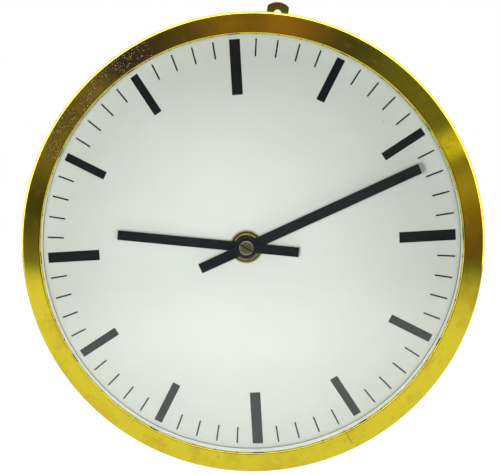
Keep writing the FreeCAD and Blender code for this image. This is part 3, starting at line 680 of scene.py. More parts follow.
@dataclass(frozen=True)
class Steel(Finish):
    """Turned or plated steel with fine lines and a faint stain.

    Args:
        name: name of the finish.
        clean: colour of the metal.
        stain: colour of the stain.
        roughness: lowest and highest roughness.
    """
    name: str
    clean: Colour
    stain: Colour
    roughness: Tuple[float, float] = (0.22, 0.42)

    def material(self, effects: Effects) -> bpy.types.Material:
        """Make the material from the shared effects."""
        material, wiring, shader, place = self._open()
        patches = wiring.group(effects.blotches, Vector=place, Size=0.006, Cover=0.45)
        lines = wiring.group(effects.turning, Vector=place, Pitch=0.00015)
        wiring.feed(shader.inputs["Base Color"], wiring.layer(self.clean, self.stain, patches, 0.5))
        wiring.feed(shader.inputs["Roughness"], wiring.spread(patches, *self.roughness))
        wiring.feed(shader.inputs["Normal"], wiring.bump(lines, 0.6, 0.01 * MM))
        shader.inputs["Metallic"].default_value = 1.0
        return material


@dataclass(frozen=True)
class Paint(Finish):
    """Paint or print with faint mottling, dust specks and, at the foot where it meets the dial, grime and a
    painted shade band.

    Args:
        name: name of the finish.
        colour: colour of the paint.
        shade: colour of its mottling.
        dust: colour of the dust on it.
        dust_share: share of the dust specks that show.
        roughness: lowest and highest roughness.
        foot: depth of the dial face; the paint up to about 1.9 mm in front of it darkens, as grime and
            painted shade, or None.
        foot_dirt_and_shade: colour of that grime and painted shade at the foot.
        sheen: specular level of the paint.
    """
    name: str
    colour: Colour
    shade: Colour
    dust: Colour
    dust_share: float = 0.1
    roughness: Tuple[float, float] = (0.42, 0.55)
    foot: Union[float, None] = None
    foot_dirt_and_shade: Colour = (0.2, 0.21, 0.13)
    sheen: float = 0.5

    def material(self, effects: Effects) -> bpy.types.Material:
        """Make the material from the shared effects."""
        material, wiring, shader, place = self._open()
        patches = wiring.group(effects.blotches, Vector=place, Size=0.045, Cover=0.5)
        specks = wiring.group(effects.specks, Vector=place, Gap=0.011, Size=0.035, Share=self.dust_share)
        tone = wiring.tint(patches, self.colour, self.shade)
        tone = wiring.tint(specks, tone, self.dust)
        if self.foot is not None:
            # painted shade with grime: the paint darkens towards the dial, fully within 1.1 mm of it and
            # fading out by 1.9 mm
            depth = wiring.along(place, (0.0, -1.0, 0.0))
            foot_dirt_and_shade_mask = wiring.fade(depth, self.foot + 1.9 * MM, self.foot + 1.1 * MM)
            tone = wiring.tint(foot_dirt_and_shade_mask, tone, self.foot_dirt_and_shade)
        grain = wiring.noise(place, 2600.0, 2.0)
        wiring.feed(shader.inputs["Base Color"], tone)
        wiring.feed(shader.inputs["Roughness"], wiring.spread(patches, *self.roughness))
        wiring.feed(shader.inputs["Normal"], wiring.bump(grain, 0.25, 0.00003))
        shader.inputs["Specular IOR Level"].default_value = self.sheen
        return material


@dataclass(frozen=True)
class Moulded(Finish):
    """Moulded plastic, rubber or lacquered wire with a fine skin.

    Args:
        name: name of the finish.
        colour: colour of the material.
        shade: colour of its mottling.
        grain: scale of the skin's grain.
        depth: depth of the skin's grain.
        roughness: lowest and highest roughness.
    """
    name: str
    colour: Colour
    shade: Colour
    grain: float = 1800.0
    depth: float = 0.00004
    roughness: Tuple[float, float] = (0.4, 0.6)

    def material(self, effects: Effects) -> bpy.types.Material:
        """Make the material from the shared effects."""
        material, wiring, shader, place = self._open()
        patches = wiring.group(effects.blotches, Vector=place, Size=0.008, Cover=0.5)
        wiring.feed(shader.inputs["Base Color"], wiring.tint(patches, self.colour, self.shade))
        wiring.feed(shader.inputs["Roughness"], wiring.spread(patches, *self.roughness))
        wiring.feed(shader.inputs["Normal"], wiring.bump(wiring.noise(place, self.grain), 0.5, self.depth))
        return material


@dataclass(frozen=True)
class Winding(Finish):
    """Enamelled wire wound side by side along X.

    Args:
        name: name of the finish.
        colour: colour of the enamel.
        wire: diameter of the wire.
    """
    name: str
    colour: Colour
    wire: float

    def material(self, effects: Effects) -> bpy.types.Material:
        """Make the material from the shared effects."""
        material, wiring, shader, place = self._open()
        phase = wiring.maths("MULTIPLY", wiring.axes(place)["X"], 2 * math.pi / self.wire)
        turns = wiring.maths("ABSOLUTE", wiring.maths("SINE", phase))
        patches = wiring.group(effects.blotches, Vector=place, Size=0.004, Cover=0.4)
        shade = tuple(0.55 * c for c in self.colour)
        wiring.feed(shader.inputs["Base Color"], wiring.tint(patches, self.colour, shade))
        wiring.feed(shader.inputs["Normal"], wiring.bump(turns, 1.0, self.wire / 3))
        shader.inputs["Metallic"].default_value = 0.7
        shader.inputs["Roughness"].default_value = 0.35
        return material


@dataclass(frozen=True)
class ClockGlass(Finish):
    """Flat clear glass with a faint smear film. Light falls through it on to the dial.

    Args:
        name: name of the finish.
        colour: colour of the glass.
    """
    name: str
    colour: Colour = (0.97, 0.985, 0.975)

    def material(self, effects: Effects) -> bpy.types.Material:
        """Make the material; shadow rays pass it, so that the dial behind is lit."""
        material, wiring, shader, place = self._open()
        smears = wiring.group(effects.blotches, Vector=place, Size=0.03, Cover=0.35)
        wiring.feed(shader.inputs["Roughness"], wiring.spread(smears, 0.0, 0.02))
        shader.inputs["Base Color"].default_value = (*self.colour, 1.0)
        shader.inputs["Transmission Weight"].default_value = 1.0
        shader.inputs["IOR"].default_value = 1.5
        clear = wiring.add("ShaderNodeBsdfTransparent")
        clear.inputs["Color"].default_value = (0.95, 0.96, 0.955, 1.0)
        path = wiring.add("ShaderNodeLightPath")
        both = wiring.add("ShaderNodeMixShader")
        wiring.feed(both.inputs["Fac"], path.outputs["Is Shadow Ray"])
        wiring.feed(both.inputs[1], shader.outputs["BSDF"])
        wiring.feed(both.inputs[2], clear.outputs["BSDF"])
        wiring.feed(node_of(material.node_tree, "OUTPUT_MATERIAL").inputs["Surface"], both.outputs[0])
        return material


DIAL_DEPTH = span_of("dial_plate").front
SCREW_FACE = span_of("hand_screw").front
BEZEL_SEAM = 155.0
SEAM_END = 103.5 * MM
SOLDER_BROWN = (0.10, 0.06, 0.02)
SUNK_GRIME_AND_SHADE = (0.12, 0.09, 0.04)

FINISHES: Dict[str, Finish] = {
    "bezel_brass": Brass("aged_bezel_brass", (0.68, 0.565, 0.035), (0.50, 0.35, 0.02), (0.55, 0.49, 0.06),
                         cover=0.42, blotch=0.016, contrast=0.45, roughness=(0.12, 0.22), pitch=0.0005,
                         worn=WornArc(-66.0, -18.0), seam=BEZEL_SEAM),
    "case_brass": Brass("spun_case_brass", (0.58, 0.45, 0.13), (0.38, 0.26, 0.08), (0.42, 0.34, 0.12),
                        cover=0.5, blotch=0.03, contrast=0.4, roughness=(0.26, 0.42), pitch=0.0009,
                        line_depth=0.00004),
    "lug_brass": Brass("aged_sheet_brass", (0.40, 0.35, 0.06), (0.20, 0.15, 0.03), (0.28, 0.23, 0.05),
                       cover=0.6, blotch=0.006, contrast=0.4, roughness=(0.45, 0.6)),
    "hub_brass": Brass("turned_brass", (0.56, 0.48, 0.22), (0.30, 0.22, 0.08), (0.40, 0.34, 0.16),
                       cover=0.35, blotch=0.003, roughness=(0.18, 0.32), pitch=0.0002),
    "gear_brass": Brass("cut_brass", (0.74, 0.58, 0.22), (0.50, 0.32, 0.10), (0.55, 0.44, 0.18),
                        cover=0.3, blotch=0.006, roughness=(0.2, 0.35), pitch=0.00025),
    "plate_brass": Brass("brushed_plate_brass", (0.72, 0.56, 0.22), (0.48, 0.32, 0.10), (0.52, 0.42, 0.18),
                         cover=0.35, blotch=0.012, roughness=(0.26, 0.42), pitch=0.0003),
    # the screw darkens deeper than 0.45 mm under its face, slot floor included: old grime and painted shade
    "screw_brass": Brass("greyed_screw_brass", (0.46, 0.43, 0.27), (0.30, 0.26, 0.14), (0.38, 0.36, 0.24),
                         cover=0.4, blotch=0.002, roughness=(0.3, 0.45), pitch=0.00012,
                         sunk=SCREW_FACE - 0.45 * MM),
    "screw_steel": Steel("plated_screw_steel", (0.55, 0.55, 0.56), (0.35, 0.33, 0.30)),
    "arbor_steel": Steel("turned_arbor_steel", (0.60, 0.60, 0.62), (0.42, 0.41, 0.40), (0.15, 0.3)),
    "pole_iron": Steel("soft_pole_iron", (0.35, 0.35, 0.37), (0.20, 0.18, 0.16), (0.4, 0.6)),
    "magnet": Steel("sintered_magnet", (0.22, 0.22, 0.24), (0.14, 0.14, 0.15), (0.45, 0.65)),
    "coil_copper": Winding("enamelled_copper_wire", (0.55, 0.22, 0.08), 0.00035),
    "lead_plastic": Moulded("red_lead_insulation", (0.42, 0.05, 0.04), (0.32, 0.04, 0.03)),
    "brown_plastic": Moulded("brown_phenolic", (0.14, 0.06, 0.03), (0.09, 0.04, 0.02), 900.0),
    "black_rubber": Moulded("black_rubber", (0.025, 0.025, 0.026), (0.045, 0.044, 0.042), 1200.0,
                            roughness=(0.6, 0.8)),
    "clear_glass": ClockGlass("clear_clock_glass"),
    "dial_white": Paint("white_dial_paint", (0.74, 0.76, 0.72), (0.72, 0.745, 0.705), (0.42, 0.43, 0.38)),
    # the wall's foot darkens towards the dial: grime and painted shade
    "wall_white": Paint("cream_wall_paint", (0.90, 0.91, 0.85), (0.87, 0.88, 0.80), (0.5, 0.5, 0.42),
                        foot=DIAL_DEPTH),
    "black_ink": Paint("black_dial_ink", (0.008, 0.009, 0.011), (0.011, 0.012, 0.014), (0.3, 0.31, 0.28),
                       0.05, (0.5, 0.62), sheen=0.25),
    "black_hand": Paint("black_hand_paint", (0.008, 0.010, 0.012), (0.012, 0.014, 0.016), (0.25, 0.26, 0.24),
                        0.05, (0.4, 0.5), sheen=0.3),
}


class Paintshop:
    """Makes each finish once and dresses pieces with it."""

    def __init__(self) -> None:
        """Make the shared effects and one material for each slot."""
        effects = Effects()
        self.materials = {slot: finish.material(effects) for slot, finish in FINISHES.items()}

    def dress(self, piece: bpy.types.Object, slot: str) -> None:
        """Give a piece the finish of a slot, in place of any it has."""
        piece.data.materials.clear()
        piece.data.materials.append(self.materials[slot])

    def finish_new(self, piece: bpy.types.Object, slot: str, body: str, *nodes: str) -> None:
        """Dress a new piece, put it on its body and let it stand for CAD nodes.

        Args:
            piece: the piece.
            slot: its material slot.
            body: the body that it rides on.
            *nodes: the CAD nodes that it replaces.
        """
        self.dress(piece, slot)
        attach(piece, body)
        if nodes:
            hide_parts(*nodes)
        log.info("%s: %d faces on %s", piece.name, len(piece.data.polygons), body)

    def dress_cad_nodes(self) -> None:
        """Give every CAD node the finish of its slot."""
        for part in frame["record"]["subparts"]:
            node = frame["nodes"][part["node"]]
            slot = part["material_slot"]
            for holder in node.material_slots:
                holder.material = self.materials[slot]
            log.info("%s: %s", part["node"], slot)


# ---------------------------------------------------------------------------------------------------
# sub-assemblies
# ---------------------------------------------------------------------------------------------------
@dataclass
class Bezel:
    """Brass bezel and its glass; the gasket keeps its CAD shape.

    Args:
        lip_radius: radius of the opening.
        lip_round: rounding of the inner lip.
        lip_gap: height of the lip's edge over the glass.
        lip_chamfer: width of the chamfer under the lip's edge.
        seat_gap: height of the lip's underside over the glass.
        shoulder_round: rounding of the outer shoulder.
        slope_drop: fall of the face from the lip to the rim.
        wall: thickness of the sheet.
        roll: rounding of the skirt's rear edge.
        ground: width of the glass's ground edge.
        groove: width and depth of the seam's hairline groove.
        segments: sides of each ring.
        ring: reach of the CAD bezel.
        glass: reach of the CAD glass.
    """
    lip_radius: float = 97.4 * MM
    lip_round: float = 0.5 * MM
    lip_gap: float = 0.05 * MM
    lip_chamfer: float = 0.3 * MM
    seat_gap: float = 0.02 * MM
    shoulder_round: float = 2.4 * MM
    slope_drop: float = 3.5 * MM
    wall: float = 1.2 * MM
    roll: float = 0.35 * MM
    ground: float = 0.3 * MM
    groove: Tuple[float, float] = (0.12 * MM, 0.06 * MM)
    segments: int = 256
    ring: Span = field(default_factory=lambda: span_of("bezel_ring"))
    glass: Span = field(default_factory=lambda: span_of("glass"))

    def outline(self) -> List[Station]:
        """Rings of the bezel, from the skirt's outer edge over the face to the skirt's inner edge."""
        rim = self.ring.radius - SKIN
        front = self.ring.front - SKIN
        corner = self.lip_radius + self.lip_round
        fall = self.slope_drop / (rim - corner)
        tilt = math.degrees(math.atan(fall))
        thick = self.wall / math.cos(math.radians(tilt))
        half = math.radians((90.0 - tilt) / 2)
        cut_back = self.shoulder_round * math.tan(half)
        shoulder = Station(rim - self.shoulder_round, front - self.slope_drop - cut_back)
        lip = Station(corner, front - self.lip_round)
        skirt_inner = rim - self.wall
        glass_face = self.glass.front
        stations = [Station(rim - self.roll, self.ring.back), Station(rim, self.ring.back + self.roll),
                    Station(rim, (self.ring.back + shoulder.depth) / 2)]
        stations += arc_stations(shoulder, self.shoulder_round, 0.0, 90.0 - tilt, 8)
        start, end = stations[-1], Station(corner, front)
        for share in (0.04, 0.35, 0.65, 0.96):
            stations.append(Station(start.radius + (end.radius - start.radius) * share,
                                    start.depth + (end.depth - start.depth) * share))
        stations += arc_stations(lip, self.lip_round, 90.0, 180.0, 6)
        meet = corner + (front - thick - glass_face - self.lip_gap) / fall
        stations += [Station(self.lip_radius, glass_face + self.lip_gap),
                     Station(self.lip_radius + self.lip_chamfer, glass_face + self.seat_gap),
                     Station(meet, glass_face + self.seat_gap),
                     Station(skirt_inner, front - thick - fall * (skirt_inner - corner)),
                     Station(skirt_inner, self.ring.back + self.roll),
                     Station(skirt_inner + self.roll, self.ring.back)]
        return stations

    def build(self, shop: Paintshop) -> None:
        """Build the ring and the glass."""
        ring = Bench.turn("bezel_shell", self.outline(), self.segments)
        self._open_seam(ring)
        shop.finish_new(ring, "bezel_brass", BODY_BEZEL, "bezel_ring")
        shop.finish_new(self._pane(), "clear_glass", BODY_BEZEL, "glass")

    def _open_seam(self, ring: bpy.types.Object) -> None:
        """Sink a hairline groove along the soldered seam of the ring."""
        width, depth = self.groove
        reach = 8 * MM
        outward = on_clock(1.0, BEZEL_SEAM, 0)
        sideways = on_clock(1.0, BEZEL_SEAM + 90.0, 0)
        face_depth = self.ring.front - self.slope_drop - self.shoulder_round
        inside = self.lip_radius + self.lip_round / 2

        def in_groove(place: Vector) -> bool:
            """True for the face's vertices on the seam's line."""
            on_line = place.dot(outward) > 0 and abs(place.dot(sideways)) < width / 2
            return on_line and -place.y > face_depth and inside < math.hypot(place.x, place.z) < SEAM_END

        Bench.edit(ring)
        for step in range(-2, 3):
            Bench.pick(ring, lambda place: place.dot(outward) > 0 and abs(place.dot(sideways)) < reach)
            bpy.ops.mesh.bisect(plane_co=sideways * (step * width), plane_no=sideways)
        Bench.pick(ring, in_groove)
        bpy.ops.transform.translate(value=(0, depth, 0))
        Bench.close()

    def _pane(self) -> bpy.types.Object:
        """Glass disc with a ground edge."""
        radius, back, front = self.glass.radius, self.glass.back, self.glass.front
        outline = [Station(radius - self.ground, back), Station(radius, back + self.ground),
                   Station(radius, front - self.ground), Station(radius - self.ground, front)]
        return Bench.turn("glass_pane", outline, LARGE_SIDES, Closing.CAPS)


@dataclass
class Case:
    """Spun brass case with its cable hole, grommet and fixing lugs.

    Args:
        wall: thickness of the sheet.
        corner: radius of the rear corner.
        bead_depth: depth of the stop bead's middle.
        bead_round: rounding of the stop bead.
        edge: rounding of the front edge and of the bead's feet.
        lug_angles: clock angles of the lugs.
        lug_width: width of a lug.
        lug_root: radius at which a lug starts.
        lug_hole_circle: radius of the circle of fixing holes.
        lug_hole: radius of a fixing hole.
        lug_end: distance from a hole's middle to the lug's tip.
        lug_arch: radius of the lug's tip.
        lug_columns: number of columns that follow the arch of the tip.
        drum: reach of the CAD case.
        lugs: reach of the CAD lugs.
    """
    wall: float = 1.2 * MM
    corner: float = 4.0 * MM
    bead_depth: float = 42.2 * MM
    bead_round: float = 1.1 * MM
    edge: float = 0.3 * MM
    lug_angles: Tuple[float, float] = (11.0, 191.0)
    lug_width: float = 11.4 * MM
    lug_root: float = 84.0 * MM
    lug_hole_circle: float = 121.0 * MM
    lug_hole: float = 2.1 * MM
    lug_end: float = 5.7 * MM
    lug_arch: float = 8.6 * MM
    lug_columns: int = 12
    drum: Span = field(default_factory=lambda: span_of("case_drum"))
    lugs: Span = field(default_factory=lambda: span_of("mounting_lugs"))

    def build(self, shop: Paintshop) -> None:
        """Build the shell, the grommet and the lugs."""
        shop.finish_new(self._shell(), "case_brass", BODY_CASE, "case_drum")
        shop.finish_new(self._grommet(), "black_rubber", BODY_CASE, "cable_grommet")
        for name, angle in zip(("lug_upper", "lug_lower"), self.lug_angles):
            shop.finish_new(self._lug(name, angle), "lug_brass", BODY_CASE, "mounting_lugs")

    def _shell(self) -> bpy.types.Object:
        """Spun shell: flat back, rounded corner, straight wall and swaged bead."""
        outer = self.drum.radius - self.bead_round
        inner = outer - self.wall
        back, front = self.drum.back, self.drum.front
        centre = Station(outer - self.corner, back + self.corner)
        middle = 0.6 * MM
        bead = Station(outer, self.bead_depth)
        bead_reach = self.bead_round + self.edge
        stations = [Station(middle, back), Station(centre.radius * 0.5, back)]
        stations += arc_stations(centre, self.corner, -90.0, 0.0, 8)
        stations.append(Station(outer, self.bead_depth - bead_reach))
        stations += arc_stations(bead, self.bead_round, -80.0, 80.0, 8)
        stations += [Station(outer, self.bead_depth + bead_reach), Station(outer, front - self.edge),
                     Station(outer - self.edge, front), Station(inner + self.edge, front),
                     Station(inner, front - self.edge)]
        stations += arc_stations(centre, self.corner - self.wall, 0.0, -90.0, 6)
        stations.append(Station(middle, back + self.wall))
        shell = Bench.turn("case_shell", stations, LARGE_SIDES, Closing.CAPS)
        low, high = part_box("cable_grommet")
        hole, past = 5.0 * MM, 7.0 * MM
        bore = Bench.turn("bore", [Station(hole, 0.0), Station(hole, back + past)], SMALL_SIDES, Closing.CAPS)
        bore.location = ((low.x + high.x) / 2, 0, (low.z + high.z) / 2)
        Bench.settle(bore)
        Bench.combine(shell, bore, "DIFFERENCE")
        Bench.smooth(shell)
        return shell

    def _grommet(self) -> bpy.types.Object:
        """Rubber grommet with round rims on both sides of the sheet."""
        low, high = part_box("cable_grommet")
        back, front = -high.y, -low.y
        rim = (high.x - low.x) / 2
        throat, groove, lip = 3.2 * MM, 5.0 * MM, 0.6 * MM
        stations = arc_stations(Station(throat + lip, back + lip), lip, 180.0, 270.0, 4)
        stations += arc_stations(Station(rim - lip, back + lip), lip, 270.0, 360.0, 4)
        stations += [Station(rim, self.drum.back), Station(groove, self.drum.back),
                     Station(groove, self.drum.back + self.wall), Station(rim, self.drum.back + self.wall)]
        stations += arc_stations(Station(rim - lip, front - lip), lip, 0.0, 90.0, 4)
        stations += arc_stations(Station(throat + lip, front - lip), lip, 90.0, 180.0, 4)
        grommet = Bench.turn("grommet_ring", stations, SMALL_SIDES)
        grommet.location = ((low.x + high.x) / 2, 0, (low.z + high.z) / 2)
        Bench.settle(grommet)
        return grommet

    def _lug(self, name: str, angle: float) -> bpy.types.Object:
        """Sheet-brass strap with an arched tip and a fixing hole."""
        thick = self.lugs.front - self.lugs.back - 2 * SKIN
        tip = self.lug_hole_circle + self.lug_end - 2 * SKIN
        length = tip - self.lug_root
        strap = Bench.bar(name, Vector((self.lug_width, thick, length)),
                          Vector((0, -(self.lugs.back + SKIN + thick / 2), self.lug_root + length / 2)))
        self._arch_tip(strap, tip)
        hole = Bench.turn("hole", [Station(self.lug_hole, -thick), Station(self.lug_hole, 2 * thick)],
                          HOLE_SIDES, Closing.CAPS)
        hole.location = (0, 0, self.lug_hole_circle)
        Bench.settle(hole)
        Bench.combine(strap, hole, "DIFFERENCE")
        Bench.soften(strap, 0.22 * MM)
        Bench.clock_turn(strap, angle)
        return strap

    def _arch_tip(self, strap: bpy.types.Object, tip: float) -> None:
        """Cut the strap into narrow columns and lower their tops on to the arch of the tip."""
        near = 0.02 * MM
        shares = [column / self.lug_columns for column in range(self.lug_columns + 1)]
        places = [self.lug_width * (share - 0.5) for share in shares]
        Bench.edit(strap)
        for place in places[1:-1]:
            bpy.ops.mesh.select_all(action="SELECT")
            bpy.ops.mesh.bisect(plane_co=(place, 0, 0), plane_no=(1, 0, 0))
        for place in places:
            drop = self.lug_arch - math.sqrt(self.lug_arch ** 2 - place ** 2)
            Bench.pick(strap, lambda p: abs(p.x - place) < near and p.z > tip - near)
            bpy.ops.transform.translate(value=(0, 0, -drop))
        Bench.close()


@dataclass
class Dial:
    """White inner wall that stands on the dial.

    Args:
        wall: thickness of the wall.
        crown: rounding of its front edge.
        foot: width of the small chamfer where it meets the dial.
        ring: reach of the CAD spacer ring.
    """
    wall: float = 1.0 * MM
    crown: float = 0.3 * MM
    foot: float = 0.25 * MM
    ring: Span = field(default_factory=lambda: span_of("spacer_ring"))

    def build(self, shop: Paintshop) -> None:
        """Build the inner wall."""
        outer, back, front = self.ring.radius, self.ring.back, self.ring.front
        inner = outer - self.wall
        stations = [Station(outer, back), Station(outer, front - self.crown),
                    Station(outer - self.crown, front), Station(inner + self.crown, front),
                    Station(inner, front - self.crown), Station(inner, back + self.foot),
                    Station(inner + self.foot, back)]
        wall = Bench.turn("inner_wall", stations, LARGE_SIDES)
        shop.finish_new(wall, "wall_white", BODY_CASE, "spacer_ring")


@dataclass(frozen=True)
class Blade:
    """Sizes of one hand.

    Args:
        name: name of its piece.
        node: the CAD node that it stands for, which gives its depths.
        body: the body that it rides on.
        angle: clock angle that it points to.
        length: reach from the axis to the tip.
        tail: reach from the axis to the tail's end.
        width: width of the blade.
        bore: radius of its hole.
    """
    name: str
    node: str
    body: str
    angle: float
    length: float
    tail: float
    width: float
    bore: float


@dataclass
class Hands:
    """Hour and minute hand, the boss and the hand screw.

    Args:
        minute: the minute hand.
        hour: the hour hand.
        eye: radius of a hand's round eye.
        soft_edge: rounding of a hand's edges.
        slot_angle: turn of the screw's slot, clockwise from level.
    """
    minute: Blade = Blade("minute_hand_blade", "minute_hand", BODY_MINUTE, 68.6, 87.0 * MM, 24.0 * MM,
                          4.8 * MM, 2.8 * MM)
    hour: Blade = Blade("hour_hand_blade", "hour_hand", BODY_HOUR, 278.8, 62.0 * MM, 24.8 * MM,
                        4.6 * MM, 3.2 * MM)
    eye: float = 4.85 * MM
    soft_edge: float = 0.14 * MM
    slot_angle: float = 33.0

    def build(self, shop: Paintshop) -> None:
        """Build both hands, the boss and the screw."""
        for blade in (self.minute, self.hour):
            shop.finish_new(self._hand(blade), "black_hand", blade.body, blade.node)
        shop.finish_new(self._boss(), "black_hand", BODY_MINUTE, "minute_hand_boss")
        shop.finish_new(self._screw(), "screw_brass", BODY_MINUTE, "hand_screw")

    def _hand(self, blade: Blade) -> bpy.types.Object:
        """Straight hand stamped from sheet, with softly rounded edges."""
        span = span_of(blade.node)
        thick = span.front - span.back
        hand = Bench.bar(blade.name, Vector((blade.width, thick, blade.length + blade.tail)),
                         Vector((0, -(span.back + thick / 2), (blade.length - blade.tail) / 2)))
        eye = Bench.turn("eye", [Station(self.eye, span.back), Station(self.eye, span.front)],
                         EYE_SIDES, Closing.CAPS)
        Bench.combine(hand, eye, "UNION")
        ends = [Station(blade.bore, span.back - thick), Station(blade.bore, span.front + thick)]
        hole = Bench.turn("hole", ends, SMALL_SIDES, Closing.CAPS)
        Bench.combine(hand, hole, "DIFFERENCE")
        Bench.soften(hand, self.soft_edge)
        Bench.clock_turn(hand, blade.angle)
        return hand

    def _boss(self) -> bpy.types.Object:
        """Round boss that presses the minute hand on to the cannon pipe."""
        span = span_of("minute_hand_boss")
        hand = span_of("minute_hand")
        pipe = span_of("cannon_pinion")
        bore, neck, edge = 2.2 * MM, self.minute.bore, 0.25 * MM
        stations = [Station(bore, span.back), Station(neck, span.back), Station(neck, hand.front),
                    Station(span.radius - edge, hand.front), Station(span.radius, hand.front + edge)]
        stations += arc_stations(Station(span.radius - edge, span.front - edge), edge, 0.0, 90.0, 3)
        stations += [Station(bore * 0.5, span.front), Station(bore * 0.5, pipe.front),
                     Station(bore, pipe.front)]
        return Bench.turn("minute_boss", stations, SCREW_SIDES)

    def _screw(self) -> bpy.types.Object:
        """Slotted screw with a bevelled rim."""
        span = span_of("hand_screw")
        radius, front = span.radius, span.front
        under = span_of("minute_hand_boss").front
        shank, rim, edge = 0.8 * MM, 0.42 * MM, 0.1 * MM
        stations = [Station(shank, span.back), Station(shank, under), Station(radius - edge, under),
                    Station(radius, under + edge), Station(radius, front - rim),
                    Station(radius - 0.6 * edge, front - 0.7 * rim),
                    Station(radius - 0.8 * rim, front - 0.5 * edge), Station(radius - rim, front)]
        screw = Bench.turn("slotted_hand_screw", stations, SCREW_SIDES, Closing.CAPS)
        slot_width, slot_depth = 0.7 * MM, 0.9 * MM
        slot = Bench.bar("slot", Vector((3 * radius, 2 * slot_depth, slot_width)), Vector((0, -front, 0)))
        Bench.clock_turn(slot, self.slot_angle)
        Bench.combine(screw, slot, "DIFFERENCE")
        Bench.soften(screw, 0.05 * MM, 1)
        return screw


@dataclass
class Hub:
    """Knurled ring nut that clamps the movement to the dial.

    Args:
        bore: radius of its thread.
        step: radius of its raised step.
        rim_height: height of the rim over the nut's back.
        knurls: number of grooves round the rim.
        knurl_depth: depth of a groove.
    """
    bore: float = 5.0 * MM
    step: float = 6.2 * MM
    rim_height: float = 2.0 * MM
    knurls: int = 44
    knurl_depth: float = 0.3 * MM

    def build(self, shop: Paintshop) -> None:
        """Build the nut."""
        nut = span_of("dial_nut")
        rim = nut.back + self.rim_height
        bevel, edge, bead, dip = 0.7 * MM, 0.2 * MM, 0.35 * MM, 0.15 * MM
        stations = [Station(self.bore, nut.back), Station(nut.radius - edge, nut.back),
                    Station(nut.radius, nut.back + edge), Station(nut.radius, rim - bevel),
                    Station(nut.radius - bevel, rim), Station(self.step + edge, rim),
                    Station(self.step, rim + edge), Station(self.step, nut.front - bead),
                    Station(self.step - bead, nut.front), Station(self.step - 1.5 * bead, nut.front - dip),
                    Station(self.bore + 1.5 * edge, nut.front - dip), Station(self.bore + edge, nut.front),
                    Station(self.bore, nut.front - edge)]
        piece = Bench.turn("knurled_ring_nut", stations, 4 * self.knurls)
        self._knurl(piece, nut.radius - bevel / 2, rim - bevel)
        self._knurl(piece, self.step - bead / 2, nut.front - bead)
        Bench.smooth(piece, 25.0)
        shop.finish_new(piece, "hub_brass", BODY_CASE, "dial_nut")

    def _knurl(self, piece: bpy.types.Object, inner: float, top: float) -> None:
        """Press a groove into an edge of the nut at every fourth column of its mesh.

        Args:
            piece: the nut.
            inner: radius outside which the edge lies.
            top: depth up to which it is grooved.
        """
        turn = 2 * math.pi / self.knurls
        near = 0.01 * MM
        low = top - 0.1 * MM if inner < self.step else 0.0

        def in_groove(place: Vector) -> bool:
            """True for the edge's vertices on a groove's line."""
            phase = (math.atan2(place.x, place.z) / turn) % 1.0
            on_line = min(phase, 1.0 - phase) < 0.1
            return on_line and math.hypot(place.x, place.z) > inner and low < -place.y < top + near

        Bench.edit(piece)
        Bench.pick(piece, in_groove)
        shrink = 1.0 - self.knurl_depth / inner
        bpy.ops.transform.resize(value=(shrink, 1, shrink), center_override=(0, 0, 0))
        Bench.close()


# ---------------------------------------------------------------------------------------------------
# studio
# ---------------------------------------------------------------------------------------------------
@dataclass(frozen=True)
class KeyLight:
    """Soft round light that faces the clock. Neither the camera nor shiny surfaces see it.

    Args:
        name: its name.
        place: where it stands.
        aim: the point that it faces.
        size: its diameter.
        power: its power in watts.
    """
    name: str
    place: Tuple[float, float, float]
    aim: Tuple[float, float, float]
    size: float
    power: float


@dataclass(frozen=True)
class RoomTone:
    """Tone of the room in front of the clock, towards one clock angle.

    Args:
        angle: clock angle.
        tone: its colour.
    """
    angle: float
    tone: Colour


